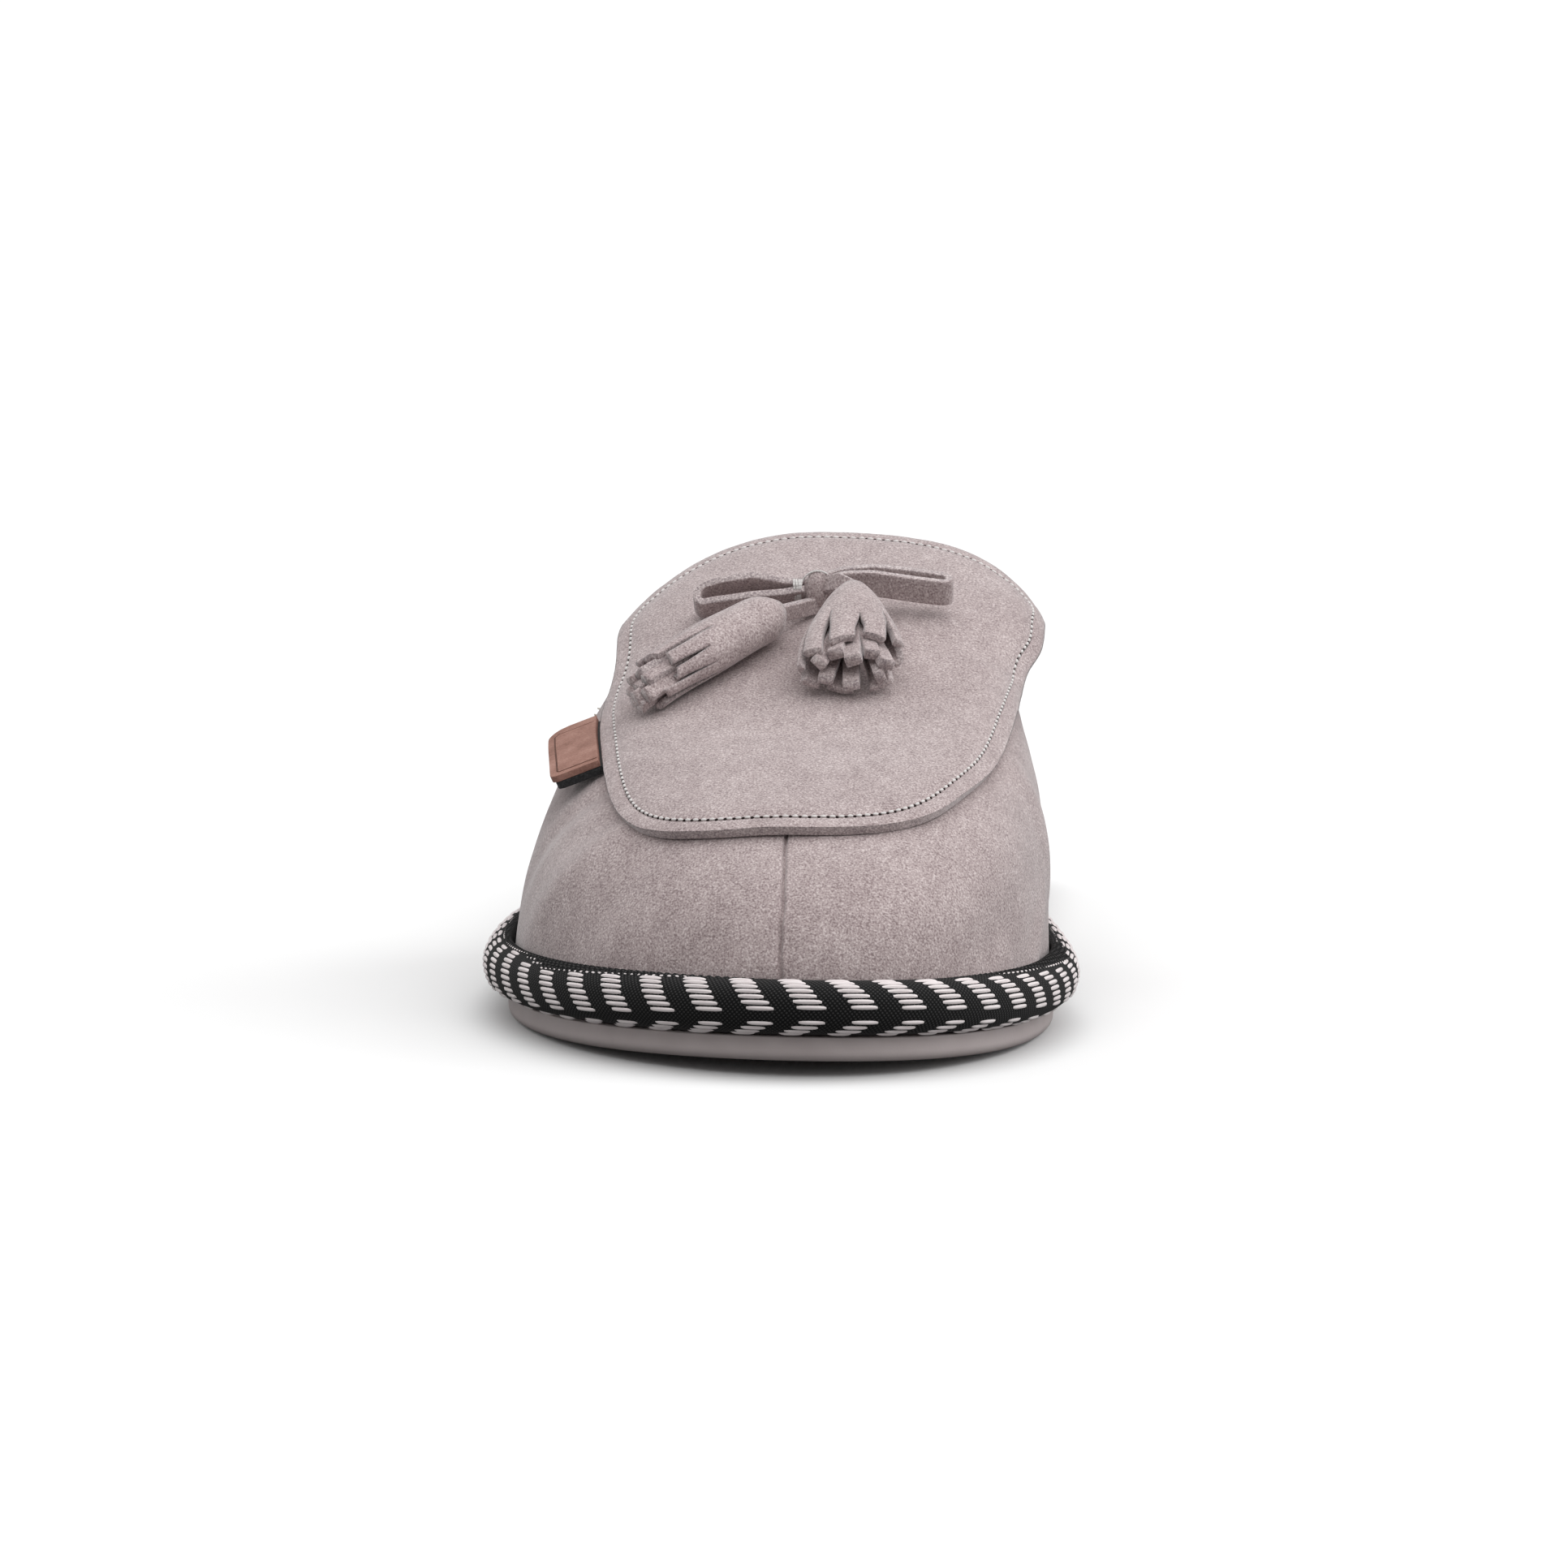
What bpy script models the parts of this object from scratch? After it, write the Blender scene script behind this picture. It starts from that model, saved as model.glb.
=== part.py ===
"""A suede mule slipper for the right foot: a hollow upper with a stitched plug that runs on into the tongue, a tied
bow with two tassels, a leather tab, and a woven braid roll round a sprung rubber sole.

Metres, +Z up, toe towards -Y, medial side towards +X. Every piece is worked out in the last's own frame, where the
toe tip of the feather line is at y = 0 and the middle of the ball at x = 0. An empty then centres the slipper.
"""

import math

import bmesh
import bpy
import numpy as np
from mathutils import Vector

# The last. The feather line is where the upper meets the sole
FEATHER_LENGTH = 0.252
BALL_WIDTH = 0.0953
THROAT_HEIGHT = 0.066
TOE_ROUND_SHARE = 0.262
HEEL_ROUND_SHARE = 0.15
TOE_BLUNTNESS = 2.0
HEEL_BLUNTNESS = 2.1
FAN_SHARE = 0.20
TOE_POWER = 3.0
INSTEP_SHIFT_SHARE = 0.045

# The sole
OUTSOLE_THICKNESS = 0.0043
OUTSOLE_MARGIN = 0.0010
OUTSOLE_EDGE_ROUND = 0.0018
TOE_SPRING = 0.0030
TOE_SPRING_SHARE = 0.26
HEEL_LIFT = 0.0030
HEEL_LIFT_START_SHARE = 0.42
HEEL_LIFT_END_SHARE = 0.72
ARCH_RISE = 0.0015
ARCH_START_SHARE = 0.42
ARCH_END_SHARE = 0.70
INSOLE_THICKNESS = 0.0080
INSOLE_EDGE_ROUND = 0.0016
INSOLE_CUP = 0.0010

# The braid roll
ROLL_HEIGHT = 0.0095
ROLL_BULGE = 0.0054
ROLL_FULLNESS = 2.3

# The upper and the plug
UPPER_WALL = 0.0022
THROAT_SHARE = 0.385
WING_SHARE = 0.60
COLLAR_HOLLOW = 0.9
PLUG_THICKNESS = 0.0018
PLUG_FRONT_SHARE = 0.083
TONGUE_END_SHARE = 0.540
PLUG_LATERAL_ROUND_SHARE = 0.39
PLUG_MEDIAL_ROUND_SHARE = 0.435
PLUG_BLUNTNESS = 2.45
TONGUE_FLARE_START_SHARE = 0.355
TONGUE_FLARE_END_SHARE = 0.460
TONGUE_LATERAL_FLARE = 0.18
TONGUE_MEDIAL_FLARE = 0.27
TONGUE_ROUND_SHARE = 0.20
TONGUE_BLUNTNESS = 2.2
CLEARANCE = 0.0003
PLUG_CLEARANCE = 0.0004

# The tab in the plug's lateral seam
TAB_START_SHARE = 0.235
TAB_LENGTH = 0.0228
TAB_REACH = 0.0090
TAB_LEATHER = 0.0012
TAB_BACKING = 0.0014
TAB_CORNER = 0.0025
TAB_SLOPE = math.radians(22)

# The bow and its tassels
STRAP_WIDTH = 0.0050
STRAP_THICKNESS = 0.0018
STRAP_CHAMFER = 0.0004
LOOP_NECK_SHARE = 0.62
KNOT_SHARE = 0.401
KNOT_WIDTH = 0.0058
KNOT_LENGTH = 0.0060
KNOT_HEIGHT = 0.0078
LOOP_OPENING = 0.0040
LEFT_LOOP_LENGTH = 0.0220
RIGHT_LOOP_LENGTH = 0.0240
LEFT_LOOP_RISE = math.radians(-6)
RIGHT_LOOP_RISE = math.radians(1)
LEFT_TASSEL_LENGTH = 0.0355
RIGHT_TASSEL_LENGTH = 0.0282
TASSEL_HEAD_SHARE = 0.50
LEFT_TASSEL_HEADING = Vector((-0.70, -0.71, 0)).normalized()
RIGHT_TASSEL_HEADING = Vector((0.04, -1, 0)).normalized()
LEFT_TASSEL_ASIDE = 0.0062
LEFT_TASSEL_AHEAD = 0.0040
RIGHT_TASSEL_ASIDE = 0.0068
LEFT_TASSEL_LIFT = 0.0008
RIGHT_TASSEL_LIFT = 0.0032
STRIP_THICKNESS = 0.0012
STRIP_START_SHARE = 0.38
STRIP_FILL = 0.78
STRIP_UNEVENNESS = 0.05
OUTER_STRIPS = {"count": 11, "ring": 1.0, "tip": 0.97}
INNER_STRIPS = {"count": 6, "ring": 0.45, "tip": 1.0}

# How finely the curved forms are cut
STATIONS = 40
CROSS_CELLS = 4
RIBS = 22
WALL_ROWS = 12
ROLL_CELLS = 7
PLUG_ROWS = 24
PLUG_CELLS = 18
TAB_CELLS = 6
EDGE_STEPS = 2
TASSEL_STEPS = 12
TASSEL_SIDES = 14
HEAD_SECTIONS = 6
STRIP_SECTIONS = 4
LOOP_STEPS = 6
FRAME_STEP = 0.0004

# The feather line by station: along is a share of the feather length, centre and half are shares of the ball width.
OUTLINE_TABLE = (
    {"along": 0.00, "centre": 0.078, "half": 0.492},
    {"along": 0.06, "centre": 0.048, "half": 0.496},
    {"along": 0.12, "centre": 0.030, "half": 0.498},
    {"along": 0.18, "centre": 0.015, "half": 0.500},
    {"along": 0.25, "centre": 0.003, "half": 0.503},
    {"along": 0.32, "centre": -0.008, "half": 0.496},
    {"along": 0.40, "centre": -0.016, "half": 0.474},
    {"along": 0.50, "centre": -0.015, "half": 0.435},
    {"along": 0.60, "centre": -0.008, "half": 0.402},
    {"along": 0.70, "centre": 0.008, "half": 0.385},
    {"along": 0.80, "centre": 0.015, "half": 0.375},
    {"along": 0.90, "centre": 0.019, "half": 0.370},
    {"along": 1.00, "centre": 0.020, "half": 0.365},
)

# The instep: along is a share of the feather length and height of the throat height. The two powers say how square
# the lateral and the medial flank are.
INSTEP_TABLE = (
    {"along": 0.00, "height": 0.560, "lateral": 2.5, "medial": 3.6},
    {"along": 0.10, "height": 0.640, "lateral": 2.5, "medial": 3.8},
    {"along": 0.20, "height": 0.740, "lateral": 2.6, "medial": 4.1},
    {"along": 0.30, "height": 0.870, "lateral": 2.6, "medial": 4.6},
    {"along": 0.385, "height": 1.000, "lateral": 2.5, "medial": 4.8},
    {"along": 0.46, "height": 1.098, "lateral": 2.5, "medial": 4.7},
    {"along": 0.60, "height": 1.252, "lateral": 2.5, "medial": 4.4},
)

# Half the plug's width on each side of the instep line: along is a share of the plug's own length, the widths are
# shares of the ball width. It draws in at the throat and flares again as the tongue.
PLUG_TABLE = (
    {"along": 0.00, "lateral": 0.400, "medial": 0.385},
    {"along": 0.15, "lateral": 0.367, "medial": 0.352},
    {"along": 0.25, "lateral": 0.360, "medial": 0.356},
    {"along": 0.40, "lateral": 0.373, "medial": 0.366},
    {"along": 0.55, "lateral": 0.386, "medial": 0.375},
    {"along": 0.68, "lateral": 0.376, "medial": 0.389},
    {"along": 0.74, "lateral": 0.379, "medial": 0.410},
    {"along": 0.80, "lateral": 0.380, "medial": 0.414},
    {"along": 0.88, "lateral": 0.357, "medial": 0.417},
    {"along": 1.00, "lateral": 0.340, "medial": 0.400},
)

# Each tassel's half width and half depth along it, as shares of its length: the left one is pressed into a narrow
# spindle, and the right one hangs open.
LEFT_TASSEL_TABLE = (
    {"along": 0.00, "wide": 0.055, "deep": 0.055},
    {"along": 0.07, "wide": 0.120, "deep": 0.100},
    {"along": 0.20, "wide": 0.152, "deep": 0.118},
    {"along": 0.45, "wide": 0.168, "deep": 0.124},
    {"along": 0.75, "wide": 0.150, "deep": 0.116},
    {"along": 1.00, "wide": 0.124, "deep": 0.106},
)
RIGHT_TASSEL_TABLE = (
    {"along": 0.00, "wide": 0.087, "deep": 0.070},
    {"along": 0.12, "wide": 0.150, "deep": 0.106},
    {"along": 0.32, "wide": 0.224, "deep": 0.135},
    {"along": 0.50, "wide": 0.280, "deep": 0.150},
    {"along": 0.72, "wide": 0.325, "deep": 0.158},
    {"along": 1.00, "wide": 0.345, "deep": 0.162},
)

MATERIALS = {
    "suede": {"color": (0.36, 0.29, 0.275), "roughness": 0.95},
    "rubber": {"color": (0.30, 0.255, 0.25), "roughness": 0.55},
    "braid": {"color": (0.03, 0.03, 0.032), "roughness": 0.85},
    "fleece": {"color": (0.80, 0.74, 0.64), "roughness": 1.0},
    "tab_leather": {"color": (0.32, 0.16, 0.10), "roughness": 0.55},
    "tab_felt": {"color": (0.02, 0.02, 0.02), "roughness": 0.95},
}


# Shared helpers


def clear_scene():
    for old in list(bpy.data.objects):
        bpy.data.objects.remove(old, do_unlink=True)


def make_material(name):
    look = MATERIALS[name]
    material = bpy.data.materials.new(name)
    material.use_nodes = True
    shader = material.node_tree.nodes["Principled BSDF"]
    shader.inputs["Base Color"].default_value = (*look["color"], 1)
    shader.inputs["Roughness"].default_value = look["roughness"]
    shader.inputs["Metallic"].default_value = 0
    return material


def smoothstep(value):
    value = min(max(value, 0.0), 1.0)
    return value * value * (3 - 2 * value)


def column_curve(table, column):
    """The natural cubic curve through one column of a table, as a function of the share along."""
    x = np.array([row["along"] for row in table])
    y = np.array([row[column] for row in table])
    step = np.diff(x)
    count = len(x)
    matrix = np.eye(count)
    slope_change = np.zeros(count)
    for i in range(1, count - 1):
        matrix[i, i - 1 : i + 2] = step[i - 1], 2 * (step[i - 1] + step[i]), step[i]
        slope_change[i] = 6 * ((y[i + 1] - y[i]) / step[i] - (y[i] - y[i - 1]) / step[i - 1])
    bend = np.linalg.solve(matrix, slope_change)

    def value(share):
        i = int(np.clip(np.searchsorted(x, share) - 1, 0, count - 2))
        after, before = x[i + 1] - share, share - x[i]
        curved = (bend[i] * after**3 + bend[i + 1] * before**3) / (6 * step[i])
        first = (y[i] / step[i] - bend[i] * step[i] / 6) * after
        second = (y[i + 1] / step[i] - bend[i + 1] * step[i] / 6) * before
        return float(curved + first + second)

    return value


def end_factor(share, bluntness):
    """How wide a rounded end is at this share of its depth, from 0 at the tip to 1."""
    share = min(max(share, 0.0), 1.0)
    return (1 - (1 - share) ** bluntness) ** (1 / bluntness)


def eased_shares(count):
    """Shares from 0 to 1, close together at both ends, where a rounded outline turns quickly."""
    return [(1 - math.cos(math.pi * i / count)) / 2 for i in range(count + 1)]


def add_lattice(mesh_data, rows, closed=False):
    """Adds quads between neighbouring rows of points, closed when each row is a ring."""
    lattice = [[mesh_data.verts.new(point) for point in row] for row in rows]
    for lower, upper in zip(lattice, lattice[1:]):
        count = len(lower)
        for i in range(count if closed else count - 1):
            j = (i + 1) % count
            mesh_data.faces.new((lower[i], lower[j], upper[j], upper[i]))
    return lattice


def add_sweep(mesh_data, sections):
    """Adds a solid that runs through closed sections, capped at both ends."""
    lattice = add_lattice(mesh_data, sections, closed=True)
    mesh_data.faces.new(lattice[0])
    mesh_data.faces.new(lattice[-1])


def finish(name, mesh_data, material, parent):
    """Turns a bmesh into a named, smooth shaded object under the slipper's empty."""
    bmesh.ops.remove_doubles(mesh_data, verts=mesh_data.verts, dist=1e-6)
    bmesh.ops.recalc_face_normals(mesh_data, faces=mesh_data.faces)
    mesh = bpy.data.meshes.new(name)
    mesh_data.to_mesh(mesh)
    mesh_data.free()
    mesh.shade_smooth()
    mesh.set_sharp_from_angle(angle=math.radians(45))
    mesh.materials.append(material)
    obj = bpy.data.objects.new(name, mesh)
    bpy.context.scene.collection.objects.link(obj)
    obj.parent = parent
    return obj


def add_thickness(obj, thickness, offset):
    """Gives an open sheet its thickness: offset -1 grows it inwards and +1 outwards."""
    modifier = obj.modifiers.new("thickness", "SOLIDIFY")
    modifier.thickness = thickness
    modifier.offset = offset
    modifier.use_even_offset = True


def add_union(obj, operand):
    """Fuses another object's form into this one, and leaves that object out of the model."""
    operand.hide_render = True
    operand.display_type = "WIRE"
    modifier = obj.modifiers.new(f"joined {operand.name}", "BOOLEAN")
    modifier.operation = "UNION"
    modifier.solver = "EXACT"
    modifier.object = operand


# The last's outline and levels

outline_centre = column_curve(OUTLINE_TABLE, "centre")
outline_half = column_curve(OUTLINE_TABLE, "half")


def feather_sides(y):
    """The feather line's lateral and medial x at this distance from the toe tip."""
    along = y / FEATHER_LENGTH
    toe = end_factor(along / TOE_ROUND_SHARE, TOE_BLUNTNESS)
    heel = end_factor((1 - along) / HEEL_ROUND_SHARE, HEEL_BLUNTNESS)
    half = outline_half(along) * BALL_WIDTH * toe * heel
    centre = outline_centre(along) * BALL_WIDTH
    return centre - half, centre + half


def feather_loop():
    """The feather line from the toe tip down the lateral side, round the heel and back up the medial side."""
    distances = [share * FEATHER_LENGTH for share in eased_shares(STATIONS)]
    lateral = [Vector((feather_sides(y)[0], y, 0)) for y in distances]
    medial = [Vector((feather_sides(y)[1], y, 0)) for y in distances]
    return lateral + medial[-2:0:-1]


def outward_normals(loop):
    tangents = [(loop[(i + 1) % len(loop)] - loop[i - 1]).normalized() for i in range(len(loop))]
    return [Vector((-t.y, t.x, 0)) for t in tangents]


LOOP = feather_loop()
LOOP_NORMALS = outward_normals(LOOP)


def toe_spring(y):
    return TOE_SPRING * max(1 - y / (TOE_SPRING_SHARE * FEATHER_LENGTH), 0.0) ** 2


def ground_level(y):
    """The underside of the outsole: flat at heel and forefoot, hollow under the arch and raised at the toe."""
    share = (y / FEATHER_LENGTH - ARCH_START_SHARE) / (ARCH_END_SHARE - ARCH_START_SHARE)
    arch = ARCH_RISE * math.sin(math.pi * share) ** 2 if 0 < share < 1 else 0
    return toe_spring(y) + arch


def seat_level(y):
    """The top of the outsole, on which footbed, upper and braid roll stand."""
    share = (y / FEATHER_LENGTH - HEEL_LIFT_START_SHARE) / (HEEL_LIFT_END_SHARE - HEEL_LIFT_START_SHARE)
    return OUTSOLE_THICKNESS + toe_spring(y) + HEEL_LIFT * smoothstep(share)


def loop_row(outset, level):
    """One ring of points at a distance outside the feather line, at the level given for each y."""
    moved = [point + normal * outset for point, normal in zip(LOOP, LOOP_NORMALS)]
    return [Vector((p.x, p.y, level(p.y))) for p in moved]


def add_face_across(mesh_data, ring, level):
    """Closes a ring of points with rows from its lateral to its medial side, at the level given for x and y."""
    rows = []
    for i in range(STATIONS + 1):
        left, right = ring[i], ring[-i]
        row = [left.lerp(right, j / CROSS_CELLS) for j in range(CROSS_CELLS + 1)]
        rows.append([left] + [Vector((p.x, p.y, level(p.x, p.y))) for p in row[1:-1]] + [right])
    add_lattice(mesh_data, rows)


# The instep's surface, from which upper, plug and tongue are cut

instep_height = column_curve(INSTEP_TABLE, "height")
lateral_power = column_curve(INSTEP_TABLE, "lateral")
medial_power = column_curve(INSTEP_TABLE, "medial")

# The instep line runs straight, a little towards the medial side. Ahead of the fan's centre the surface fans round
# the toe, and behind it each section lies straight across.
INSTEP_X = INSTEP_SHIFT_SHARE * BALL_WIDTH
FAN_CENTRE = Vector((INSTEP_X, FAN_SHARE * FEATHER_LENGTH, 0))


def side_power(y, medial):
    along = y / FEATHER_LENGTH
    return medial_power(along) if medial else lateral_power(along)


def fan_power(direction):
    """How square the fan's profile is in this direction, from the flank's power to the toe's."""
    side = side_power(FAN_CENTRE.y, direction.x > 0)
    return side + (TOE_POWER - side) * direction.y**2


def feather_reach(direction):
    """The distance from the fan's centre to the feather line in this direction."""
    near, far = 0.0, FEATHER_LENGTH
    for _ in range(30):
        middle = (near + far) / 2
        point = FAN_CENTRE + direction * middle
        inside = point.y > 0 and feather_sides(point.y)[0] < point.x < feather_sides(point.y)[1]
        near, far = (middle, far) if inside else (near, middle)
    return near


def surface_level(y, reach, power):
    """The surface's height where reach is 0 on the instep line and 1 on the feather line."""
    base = seat_level(y) + CLEARANCE
    rise = instep_height(y / FEATHER_LENGTH) * THROAT_HEIGHT - base
    return base + rise * max(1 - min(reach, 1.0) ** power, 0.0) ** (1 / power)


def surface_point(x, y, flared=False):
    """The point of the upper's outer surface above this x and y. Flared, it is the tongue's own wider section."""
    if y < FAN_CENTRE.y:
        offset = Vector((x, y, 0)) - FAN_CENTRE
        direction = offset.normalized()
        reach, power = offset.length / feather_reach(direction), fan_power(direction)
    else:
        medial = x > INSTEP_X
        edge = feather_sides(y)[1 if medial else 0]
        reach, power = (x - INSTEP_X) / (edge - INSTEP_X), side_power(y, medial)
        if flared:
            reach /= 1 + tongue_flare(y, medial)
    return Vector((x, y, surface_level(y, reach, power)))


def tongue_flare(y, medial):
    """How much wider the tongue's section is than the last's, from nothing at the throat."""
    start, end = TONGUE_FLARE_START_SHARE * FEATHER_LENGTH, TONGUE_FLARE_END_SHARE * FEATHER_LENGTH
    most = TONGUE_MEDIAL_FLARE if medial else TONGUE_LATERAL_FLARE
    return most * smoothstep((y - start) / (end - start))


def surface_frame(x, y, flared=False):
    """Three unit vectors on the surface: across to the medial side, up the instep, and straight out."""
    step = FRAME_STEP
    across = (surface_point(x + step, y, flared) - surface_point(x - step, y, flared)).normalized()
    along = (surface_point(x, y + step, flared) - surface_point(x, y - step, flared)).normalized()
    out = across.cross(along).normalized()
    return across, out.cross(across), out


def lifted(x, y, height, flared=False):
    """A point this far out from the upper's surface."""
    return surface_point(x, y, flared) + surface_frame(x, y, flared)[2] * height


# The sole


def quarter_round(radius):
    """A rounded edge from the flat face to the side: how far each step stands in from the side and from the face."""
    angles = [math.pi / 2 * i / EDGE_STEPS for i in range(EDGE_STEPS + 1)]
    return [(radius * (1 - math.sin(angle)), radius * (1 - math.cos(angle))) for angle in angles]


def make_outsole(material, parent):
    """One rubber sheet with a rounded lower edge, sprung at the toe and hollow under the arch."""
    rings = []
    for inset, rise in quarter_round(OUTSOLE_EDGE_ROUND):
        rings.append(loop_row(OUTSOLE_MARGIN - inset, lambda y, rise=rise: ground_level(y) + rise))
    rings.append(loop_row(OUTSOLE_MARGIN, seat_level))
    mesh_data = bmesh.new()
    add_lattice(mesh_data, rings, closed=True)
    add_face_across(mesh_data, rings[0], lambda x, y: ground_level(y))
    add_face_across(mesh_data, rings[-1], lambda x, y: seat_level(y))
    return finish("outsole", mesh_data, material, parent)


def insole_inset(y):
    """The footbed lies inside the upper's wall, and past the wings it widens to the braid roll."""
    past_wing = smoothstep((y - WING_SHARE * FEATHER_LENGTH - UPPER_WALL) / (3 * UPPER_WALL))
    return 2 * CLEARANCE + (UPPER_WALL + CLEARANCE) * (1 - past_wing)


def make_insole(material, parent):
    """The footbed, with rounded edges and a shallow cup."""

    def ring(inset, rise):
        points = []
        for point, normal in zip(LOOP, LOOP_NORMALS):
            moved = point - normal * (insole_inset(point.y) + inset)
            points.append(Vector((moved.x, moved.y, seat_level(moved.y) + CLEARANCE + rise)))
        return points

    def top_level(x, y):
        left, right = feather_sides(min(max(y, 0.0), FEATHER_LENGTH))
        share = (x - (left + right) / 2) / max((right - left) / 2, UPPER_WALL)
        return seat_level(y) + CLEARANCE + INSOLE_THICKNESS - INSOLE_CUP * max(1 - share**2, 0)

    rings = [ring(0, 0)]
    for inset, drop in reversed(quarter_round(INSOLE_EDGE_ROUND)):
        rings.append(ring(inset, INSOLE_THICKNESS - drop))
    mesh_data = bmesh.new()
    add_lattice(mesh_data, rings, closed=True)
    add_face_across(mesh_data, rings[0], lambda x, y: seat_level(y) + CLEARANCE)
    add_face_across(mesh_data, rings[-1], top_level)
    return finish("insole", mesh_data, material, parent)


# The braid roll


def roll_profile():
    """Half round points from the foot of the roll to its top, as distance out of the feather line and rise."""
    points = [{"out": CLEARANCE, "up": 0.0}]
    for i in range(ROLL_CELLS + 1):
        angle = math.pi * (i / ROLL_CELLS - 0.5)
        out = ROLL_BULGE * math.cos(angle) ** (2 / ROLL_FULLNESS)
        up = math.copysign(abs(math.sin(angle)) ** (2 / ROLL_FULLNESS), angle) * ROLL_HEIGHT / 2
        points.append({"out": max(out, 2 * CLEARANCE), "up": ROLL_HEIGHT / 2 + up})
    points.append({"out": CLEARANCE, "up": ROLL_HEIGHT})
    return points


def make_braid_roll(material, parent):
    """The ribbon over its filler, as one closed ring that lies on the outsole against the upper."""
    rings = []
    for place in roll_profile():
        rings.append(loop_row(place["out"], lambda y, up=place["up"]: seat_level(y) + CLEARANCE + up))
    mesh_data = bmesh.new()
    add_lattice(mesh_data, rings + rings[:1], closed=True)
    return finish("braid_roll", mesh_data, material, parent)


# The upper


def upper_rib(y, medial):
    """Points up one rib, from the feather line at this y to the instep line."""
    base = Vector((feather_sides(y)[1 if medial else 0], y, 0))
    throat_y, wing_y = THROAT_SHARE * FEATHER_LENGTH, WING_SHARE * FEATHER_LENGTH
    in_fan = y < FAN_CENTRE.y
    power = fan_power((base - FAN_CENTRE).normalized()) if in_fan else side_power(y, medial)
    top_y = FAN_CENTRE.y + (y - FAN_CENTRE.y) * (throat_y - FAN_CENTRE.y) / (wing_y - FAN_CENTRE.y)
    points = []
    for row in range(WALL_ROWS + 1):
        angle = math.pi / 2 * row / WALL_ROWS
        reach = max(math.cos(angle), 0.0) ** (2 / power)
        if in_fan:
            place = FAN_CENTRE.lerp(base, reach)
        else:
            row_y = y + (top_y - y) * math.sin(angle) ** (2 / power * COLLAR_HOLLOW)
            edge = feather_sides(row_y)[1 if medial else 0]
            place = Vector((INSTEP_X + (edge - INSTEP_X) * reach, row_y, 0))
            power = side_power(row_y, medial)
        points.append(Vector((place.x, place.y, surface_level(place.y, reach, power))))
    return points


def make_upper(material, parent):
    """The suede vamp and its two wings as one wall: ribs from the lateral wing round the toe to the medial wing."""
    wing_y = WING_SHARE * FEATHER_LENGTH
    distances = [wing_y * (1 - math.cos(math.pi / 2 * i / RIBS)) for i in range(RIBS + 1)]
    ribs = [upper_rib(y, False) for y in reversed(distances)]
    ribs += [upper_rib(y, True) for y in distances[1:]]
    mesh_data = bmesh.new()
    add_lattice(mesh_data, ribs)
    obj = finish("upper", mesh_data, material, parent)
    add_thickness(obj, UPPER_WALL, -1)
    return obj


# The plug and tongue

plug_lateral = column_curve(PLUG_TABLE, "lateral")
plug_medial = column_curve(PLUG_TABLE, "medial")


def plug_sides(y):
    """The plug's lateral and medial edge at this y."""
    front, end = PLUG_FRONT_SHARE * FEATHER_LENGTH, TONGUE_END_SHARE * FEATHER_LENGTH
    along = (y - front) / (end - front)
    width = BALL_WIDTH * end_factor((1 - along) / TONGUE_ROUND_SHARE, TONGUE_BLUNTNESS)
    lateral = plug_lateral(along) * end_factor(along / PLUG_LATERAL_ROUND_SHARE, PLUG_BLUNTNESS)
    medial = plug_medial(along) * end_factor(along / PLUG_MEDIAL_ROUND_SHARE, PLUG_BLUNTNESS)
    return INSTEP_X - lateral * width, INSTEP_X + medial * width


def make_plug_tongue(material, parent):
    """The stitched suede plug, which lies on the vamp and runs on past the throat as the tongue."""
    front, end = PLUG_FRONT_SHARE * FEATHER_LENGTH, TONGUE_END_SHARE * FEATHER_LENGTH
    rows = []
    for share in eased_shares(PLUG_ROWS):
        y = front + (end - front) * share
        left, right = plug_sides(y)
        across = [left + (right - left) * share for share in eased_shares(PLUG_CELLS)]
        rows.append([lifted(x, y, PLUG_CLEARANCE, flared=True) for x in across])
    mesh_data = bmesh.new()
    add_lattice(mesh_data, rows)
    obj = finish("plug_tongue", mesh_data, material, parent)
    add_thickness(obj, PLUG_THICKNESS, 1)
    return obj


# The tab


def make_tab_layer(name, lift, thickness, material, parent):
    """One layer of the tab: it starts at the plug's lateral edge and stands off the flank as that falls away."""
    rows = []
    for i in range(TAB_CELLS + 1):
        run = TAB_LENGTH * i / TAB_CELLS
        y = TAB_START_SHARE * FEATHER_LENGTH + run
        seam = lifted(plug_sides(y)[0] - 2 * CLEARANCE, y, lift)
        to_end = TAB_LENGTH * min(i, TAB_CELLS - i) / TAB_CELLS
        to_corner = max(TAB_CORNER - to_end, 0)
        reach = TAB_REACH - TAB_CORNER + math.sqrt(TAB_CORNER**2 - to_corner**2)
        out = Vector((-math.cos(TAB_SLOPE), 0, -math.sin(TAB_SLOPE)))
        rows.append([seam + out * reach * j / TAB_CELLS for j in range(TAB_CELLS + 1)])
    mesh_data = bmesh.new()
    add_lattice(mesh_data, rows)
    obj = finish(name, mesh_data, material, parent)
    add_thickness(obj, thickness, 1)
    return obj


# The bow and its tassels


def strap_section(middle, across, through, width=STRAP_WIDTH, thickness=STRAP_THICKNESS):
    """Eight points round a flat strap with chamfered edges."""
    half, deep, cut = width / 2, thickness / 2, STRAP_CHAMFER
    corners = ((half - cut, deep), (half, deep - cut), (half, cut - deep), (half - cut, -deep))
    sides = [middle + across * a + through * b for a, b in corners]
    return sides + [middle - across * a - through * b for a, b in corners]


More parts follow.
